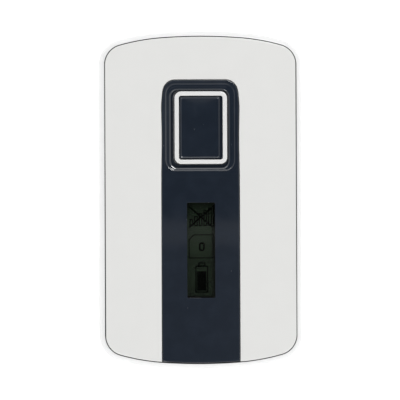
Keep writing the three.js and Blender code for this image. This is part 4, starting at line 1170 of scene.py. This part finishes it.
def build_housing():
    shell = housing_solid("housing")
    inner = housing_outline(-LEDGE)
    seat = prism(housing_outline(seam_grow), seat_z, FAR)
    combine(shell, "DIFFERENCE", [seat, prism(inner, floor_z, FAR)])
    seat_half_width = door_half_width + RAIL_WIDTH + DOOR_SEAT_MARGIN
    seat_top_y = door_top_y + TONGUE_LENGTH + DOOR_SEAT_MARGIN
    seat_top_z = cell_bottom_z + DOOR_SEAT_THICKNESS
    door_seat = slab(seat_half_width, -FAR, seat_top_y, floor_z - OVERRUN, seat_top_z)
    combine(door_seat, "INTERSECT", [prism(inner, floor_z - 2 * OVERRUN, FAR)])
    bay = bay_half_width + BAY_WALL
    bay_ends = (bay_start_y - BAY_WALL, bay_end_y + BAY_WALL)
    bay_block = slab(bay, *bay_ends, floor_z - OVERRUN, board_low.z)
    combine(shell, "UNION", [door_seat, bay_block, *housing_posts()])
    hollow = slab(bay_half_width, bay_start_y, bay_end_y, -OVERRUN, bay_top_z)
    x0, x1 = socket_low.x - SOCKET_FIT, socket_high.x + SOCKET_FIT
    z0, z1 = socket_low.z - SOCKET_FIT, socket_high.z + SOCKET_FIT
    window = block(x0, x1, half_height - OVERRUN, FAR, z0, z1)
    facet_y = shell_high.y - SOCKET_FACET
    facet = block(socket_low.x, socket_high.x, facet_y, FAR, socket_low.z, FAR)
    combine(shell, "DIFFERENCE", [hollow, *door_recess(), window, facet, *housing_holes()])
    soften(shell, SHELL_EDGE)
    settle(shell, "white_shell", "rear_shell", angle=HOUSING_CRISP_ANGLE)


def build_door():
    door = housing_solid("door_panel")
    far = -half_height - housing_grow - OVERRUN
    plate = slab(door_half_width, far, door_top_y, -OVERRUN, door_inner_z)
    rails = slab(door_half_width + RAIL_WIDTH, far, door_top_y, door_rail_z, door_inner_z)
    tongue_ends = (door_top_y - OVERRUN, door_top_y + TONGUE_LENGTH)
    tongue = slab(TONGUE_HALF_WIDTH, *tongue_ends, door_rail_z, door_inner_z)
    combine(plate, "UNION", [rails, tongue])
    combine(door, "INTERSECT", [plate])
    grips = []
    for i in range(GRIP_COUNT):
        y = door_top_y - GRIP_FROM_TOP - i * GRIP_PITCH
        low, high = y - GRIP_PITCH / 4, y + GRIP_PITCH / 4
        grips.append(slab(GRIP_HALF_WIDTH, low, high, -OVERRUN, back_z + GRIP_DEPTH))
    combine(door, "DIFFERENCE", grips)
    soften(door, SHELL_EDGE)
    settle(door, "white_shell", "battery_door", body="battery_hatch", angle=HOUSING_CRISP_ANGLE)


def build_electrode(corner):
    low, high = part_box(f"electrode_{corner}")
    centre = (low + high) / 2
    edge = [(ELECTRODE_RADIUS - x, low.z + z) for x, z in edge_profile(ELECTRODE_EDGE)[::-1]]
    shank = [(SHANK_RADIUS, electrode_seat_z), (SHANK_RADIUS, high.z), (0, high.z)]
    profile = [(0, low.z), *edge, (ELECTRODE_RADIUS, electrode_seat_z), *shank]
    disc = turned(f"electrode_disc_{corner}", profile, ELECTRODE_SIDES, centre)
    look = f"electrode_steel_{corner}"
    turned_metal(look, linear(206, 208, 211), (centre.x, centre.y, low.z))
    settle(disc, "electrode_steel", f"electrode_{corner}", look=look)


def lie_along(piece, node, direction):
    """Lays a piece that was built upright along Y, in a node's place."""
    low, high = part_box(node)
    foot = (low + high) / 2
    foot.y = low.y if direction > 0 else high.y
    turn = Matrix.Rotation(math.radians(-90 * direction), 4, "X")
    piece.data.transform(Matrix.Translation(foot) @ turn)


def build_cell(side, direction):
    """A cell as a bright can and the printed sleeve shrunk over it."""
    low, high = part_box(f"battery_{side}")
    radius = (high.x - low.x) / 2
    body = high.y - low.y - NUB_LENGTH
    can = radius - SLEEVE_WALL

    def wall(reach, low_z, high_z):
        """The side of the cell with its drawn-in ends."""
        end = reach - CELL_EDGE
        return [(end, low_z), (reach, CELL_EDGE), (reach, body - CELL_EDGE), (end, high_z)]

    nub = [(NUB_RADIUS, body), (NUB_RADIUS, body + NUB_LENGTH), (0, body + NUB_LENGTH)]
    profile = [(0, 0), *wall(can, 0, body), *nub]
    metal_can = turned(f"cell_can_{side}", profile, CELL_SIDES)
    lap = radius - SLEEVE_LAP
    lap_z = (SLEEVE_WALL, body - SLEEVE_WALL)
    profile = [(lap, 0), *wall(radius, 0, body), (lap, body), (lap, lap_z[1])]
    profile += [*wall(can, *lap_z)[::-1], (lap, lap_z[0]), (lap, 0)]
    sleeve = turned(f"cell_sleeve_{side}", profile, CELL_SIDES)
    for piece in (metal_can, sleeve):
        lie_along(piece, f"battery_{side}", direction)
    settle(metal_can, "bright_steel", f"battery_{side}")
    settle(sleeve, "cell_wrap")


def build_spring(side, direction):
    """A tapered coil of round wire with its wide end on the contact plate."""
    low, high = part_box(f"battery_spring_{side}")
    length = high.y - low.y - 2 * WIRE_RADIUS
    bm = bmesh.new()
    loops = []
    for step in range(COIL_TURNS * COIL_STEPS + 1):
        share = step / (COIL_TURNS * COIL_STEPS)
        angle = math.tau * COIL_TURNS * share
        radius = COIL_BASE_RADIUS + (COIL_TIP_RADIUS - COIL_BASE_RADIUS) * share
        out = Vector((math.cos(angle), math.sin(angle), 0))
        centre = out * radius + Vector((0, 0, WIRE_RADIUS + length * share))
        loop = []
        for corner in range(WIRE_SIDES):
            turn = math.tau * corner / WIRE_SIDES
            offset = out * math.cos(turn) + Vector((0, 0, math.sin(turn)))
            loop.append(bm.verts.new(centre + offset * WIRE_RADIUS))
        loops.append(loop)
    bridge_all(bm, loops)
    bm.faces.new(loops[0])
    bm.faces.new(loops[-1])
    coil = add_object(f"contact_coil_{side}", bm)
    lie_along(coil, f"battery_spring_{side}", direction)
    settle(coil, "bright_steel", f"battery_spring_{side}")


def dress_node(row):
    """Material and small rounds for a node that the frame gives as it is."""
    node = frame["nodes"][row["node"]]
    node.data.materials.clear()
    node.data.materials.append(materials[row["material_slot"]])
    node.modifiers.new("weld", "WELD").merge_threshold = WELD_DISTANCE
    soften(node, SMALL_EDGE)


build_lid()
build_seal()
build_panel()
build_key_ring()
build_key_pad()
build_dome()
build_window()
build_display()
build_pictograms()
build_housing()
build_door()
for corner in CORNERS:
    build_electrode(corner)
for side, cell_direction in (("left", 1), ("right", -1)):
    build_cell(side, cell_direction)
    build_spring(side, cell_direction)
for row in frame["record"]["subparts"]:
    if row["node"] not in replaced:
        dress_node(row)

# Stage
CAMERA_DISTANCE = 900 * MM
FRAME_WIDTH = 138.4 * MM
CAMERA_TILT = math.radians(1.9)
CAMERA_ROLL = math.radians(0.23)
AIM_OFFSET = Vector((-0.34 * MM, -0.03 * MM, 0))
SENSOR = 36
CLIP_START = 10 * MM
FLOOR_SIZE = 3
FLOOR_CORNER_RADIUS = 0.5
FLOOR_CLOUD_SIZE = 60 * MM
FLOOR_GLOW = 0.2

# The sky is white below the first height and dark above the second, and leans to one side
SKY_LEAN = math.radians(8)
SKY_STOPS = ((0.75, (1, 1, 1, 1)), (0.985, (0.02, 0.02, 0.021, 1)))

# Soft boxes light the part; windows, glints and cards only show in its gloss. Each row has the
# place, the width, the height and the radiance, and all but the cards face the same place.
LIT_PLACE = (0, 0.02, 0.02)
BOXES = (
    ("left_box", (-0.45, 0.05, 0.8), 0.8, 0.25, 0.3),
    ("right_box", (0.45, 0.05, 0.8), 0.8, 0.25, 0.25),
    ("top_box", (0, 0.45, 0.8), 0.9, 0.25, 2.2),
    ("bottom_box", (0, -0.4, 0.8), 0.9, 0.25, 0.62),
    ("low_fill", (0, -0.66, 0.2), 0.9, 0.25, 0.9),
)
GLINTS = (
    ("high_window", (0, 0.62, 0.68), 0.9, 0.2, 2.5),
    ("corner_window", (0.27, 0.46, 0.8), 0.34, 0.17, 30),
    ("left_glint", (-0.22, -0.52, 0.8), 0.24, 0.12, 14),
    ("right_glint", (0.38, -0.42, 0.8), 0.24, 0.12, 2.5),
)
CARDS = (
    ("band_card", (0, -0.03, 1.5), 2, 0.0212, 0.27),
    ("low_card", (0, -0.1206, 1.5), 2, 0.16, 0.075),
)


def build_camera():
    data = bpy.data.cameras.new("camera")
    data.sensor_width = SENSOR
    data.lens = SENSOR * CAMERA_DISTANCE / FRAME_WIDTH
    data.clip_start = CLIP_START
    camera = add_to_scene("camera", data)
    target = Vector((0, 0, front_z)) + AIM_OFFSET
    back = Vector((-math.sin(CAMERA_TILT), 0, math.cos(CAMERA_TILT)))
    lean = Vector((math.sin(CAMERA_ROLL), math.cos(CAMERA_ROLL), 0))
    right = lean.cross(back).normalized()
    up = back.cross(right)
    turn = Matrix((right, up, back)).transposed().to_4x4()
    camera.matrix_world = Matrix.Translation(target + back * CAMERA_DISTANCE) @ turn
    scene.camera = camera


def add_light(name, place, width, height, radiance, target=LIT_PLACE, lights=False):
    """A rectangle whose glow doesn't depend on its size."""
    data = bpy.data.lights.new(name, "AREA")
    data.shape = "RECTANGLE"
    data.size = width
    data.size_y = height
    data.energy = radiance * math.pi * width * height
    light = add_to_scene(name, data)
    light.location = place
    light.rotation_euler = (Vector(target) - Vector(place)).to_track_quat("-Z", "Y").to_euler()
    light.visible_diffuse = lights


def build_floor():
    n = new_material("floor_paper")
    tone = n.blend(n.noise(FLOOR_CLOUD_SIZE), linear(248, 248, 248), linear(252, 252, 252))
    n.set(Base_Color=tone, Roughness=0.9, Emission_Color=(1, 1, 1), Emission_Strength=FLOOR_GLOW)
    bm = bmesh.new()
    fill(bm, ring(bm, rounded(0, 0, FLOOR_SIZE, FLOOR_SIZE, FLOOR_CORNER_RADIUS), 0))
    floor = add_object("floor", bm)
    floor.data.materials.append(materials["floor_paper"])


def build_world():
    world = bpy.data.worlds.new("studio")
    scene.world = world
    n = Nodes(world)
    lean = n.add("VectorRotate", [n.direction], rotation_type="Y_AXIS")
    lean.inputs["Angle"].default_value = SKY_LEAN
    split = n.add("SeparateXYZ", [lean.outputs[0]])
    ramp = n.add("ValToRGB", [split.outputs["Z"]])
    for stop, (position, colour) in zip(ramp.color_ramp.elements, SKY_STOPS):
        stop.position = position
        stop.color = colour
    n.put(ramp.outputs["Color"], n.tree.nodes["Background"].inputs["Color"])


build_camera()
build_world()
build_floor()
for row in BOXES:
    add_light(*row, lights=True)
for row in GLINTS:
    add_light(*row)
for row in CARDS:
    x, y, _ = row[1]
    add_light(*row, target=(x, y, 0))
scene.view_settings.view_transform = "Standard"
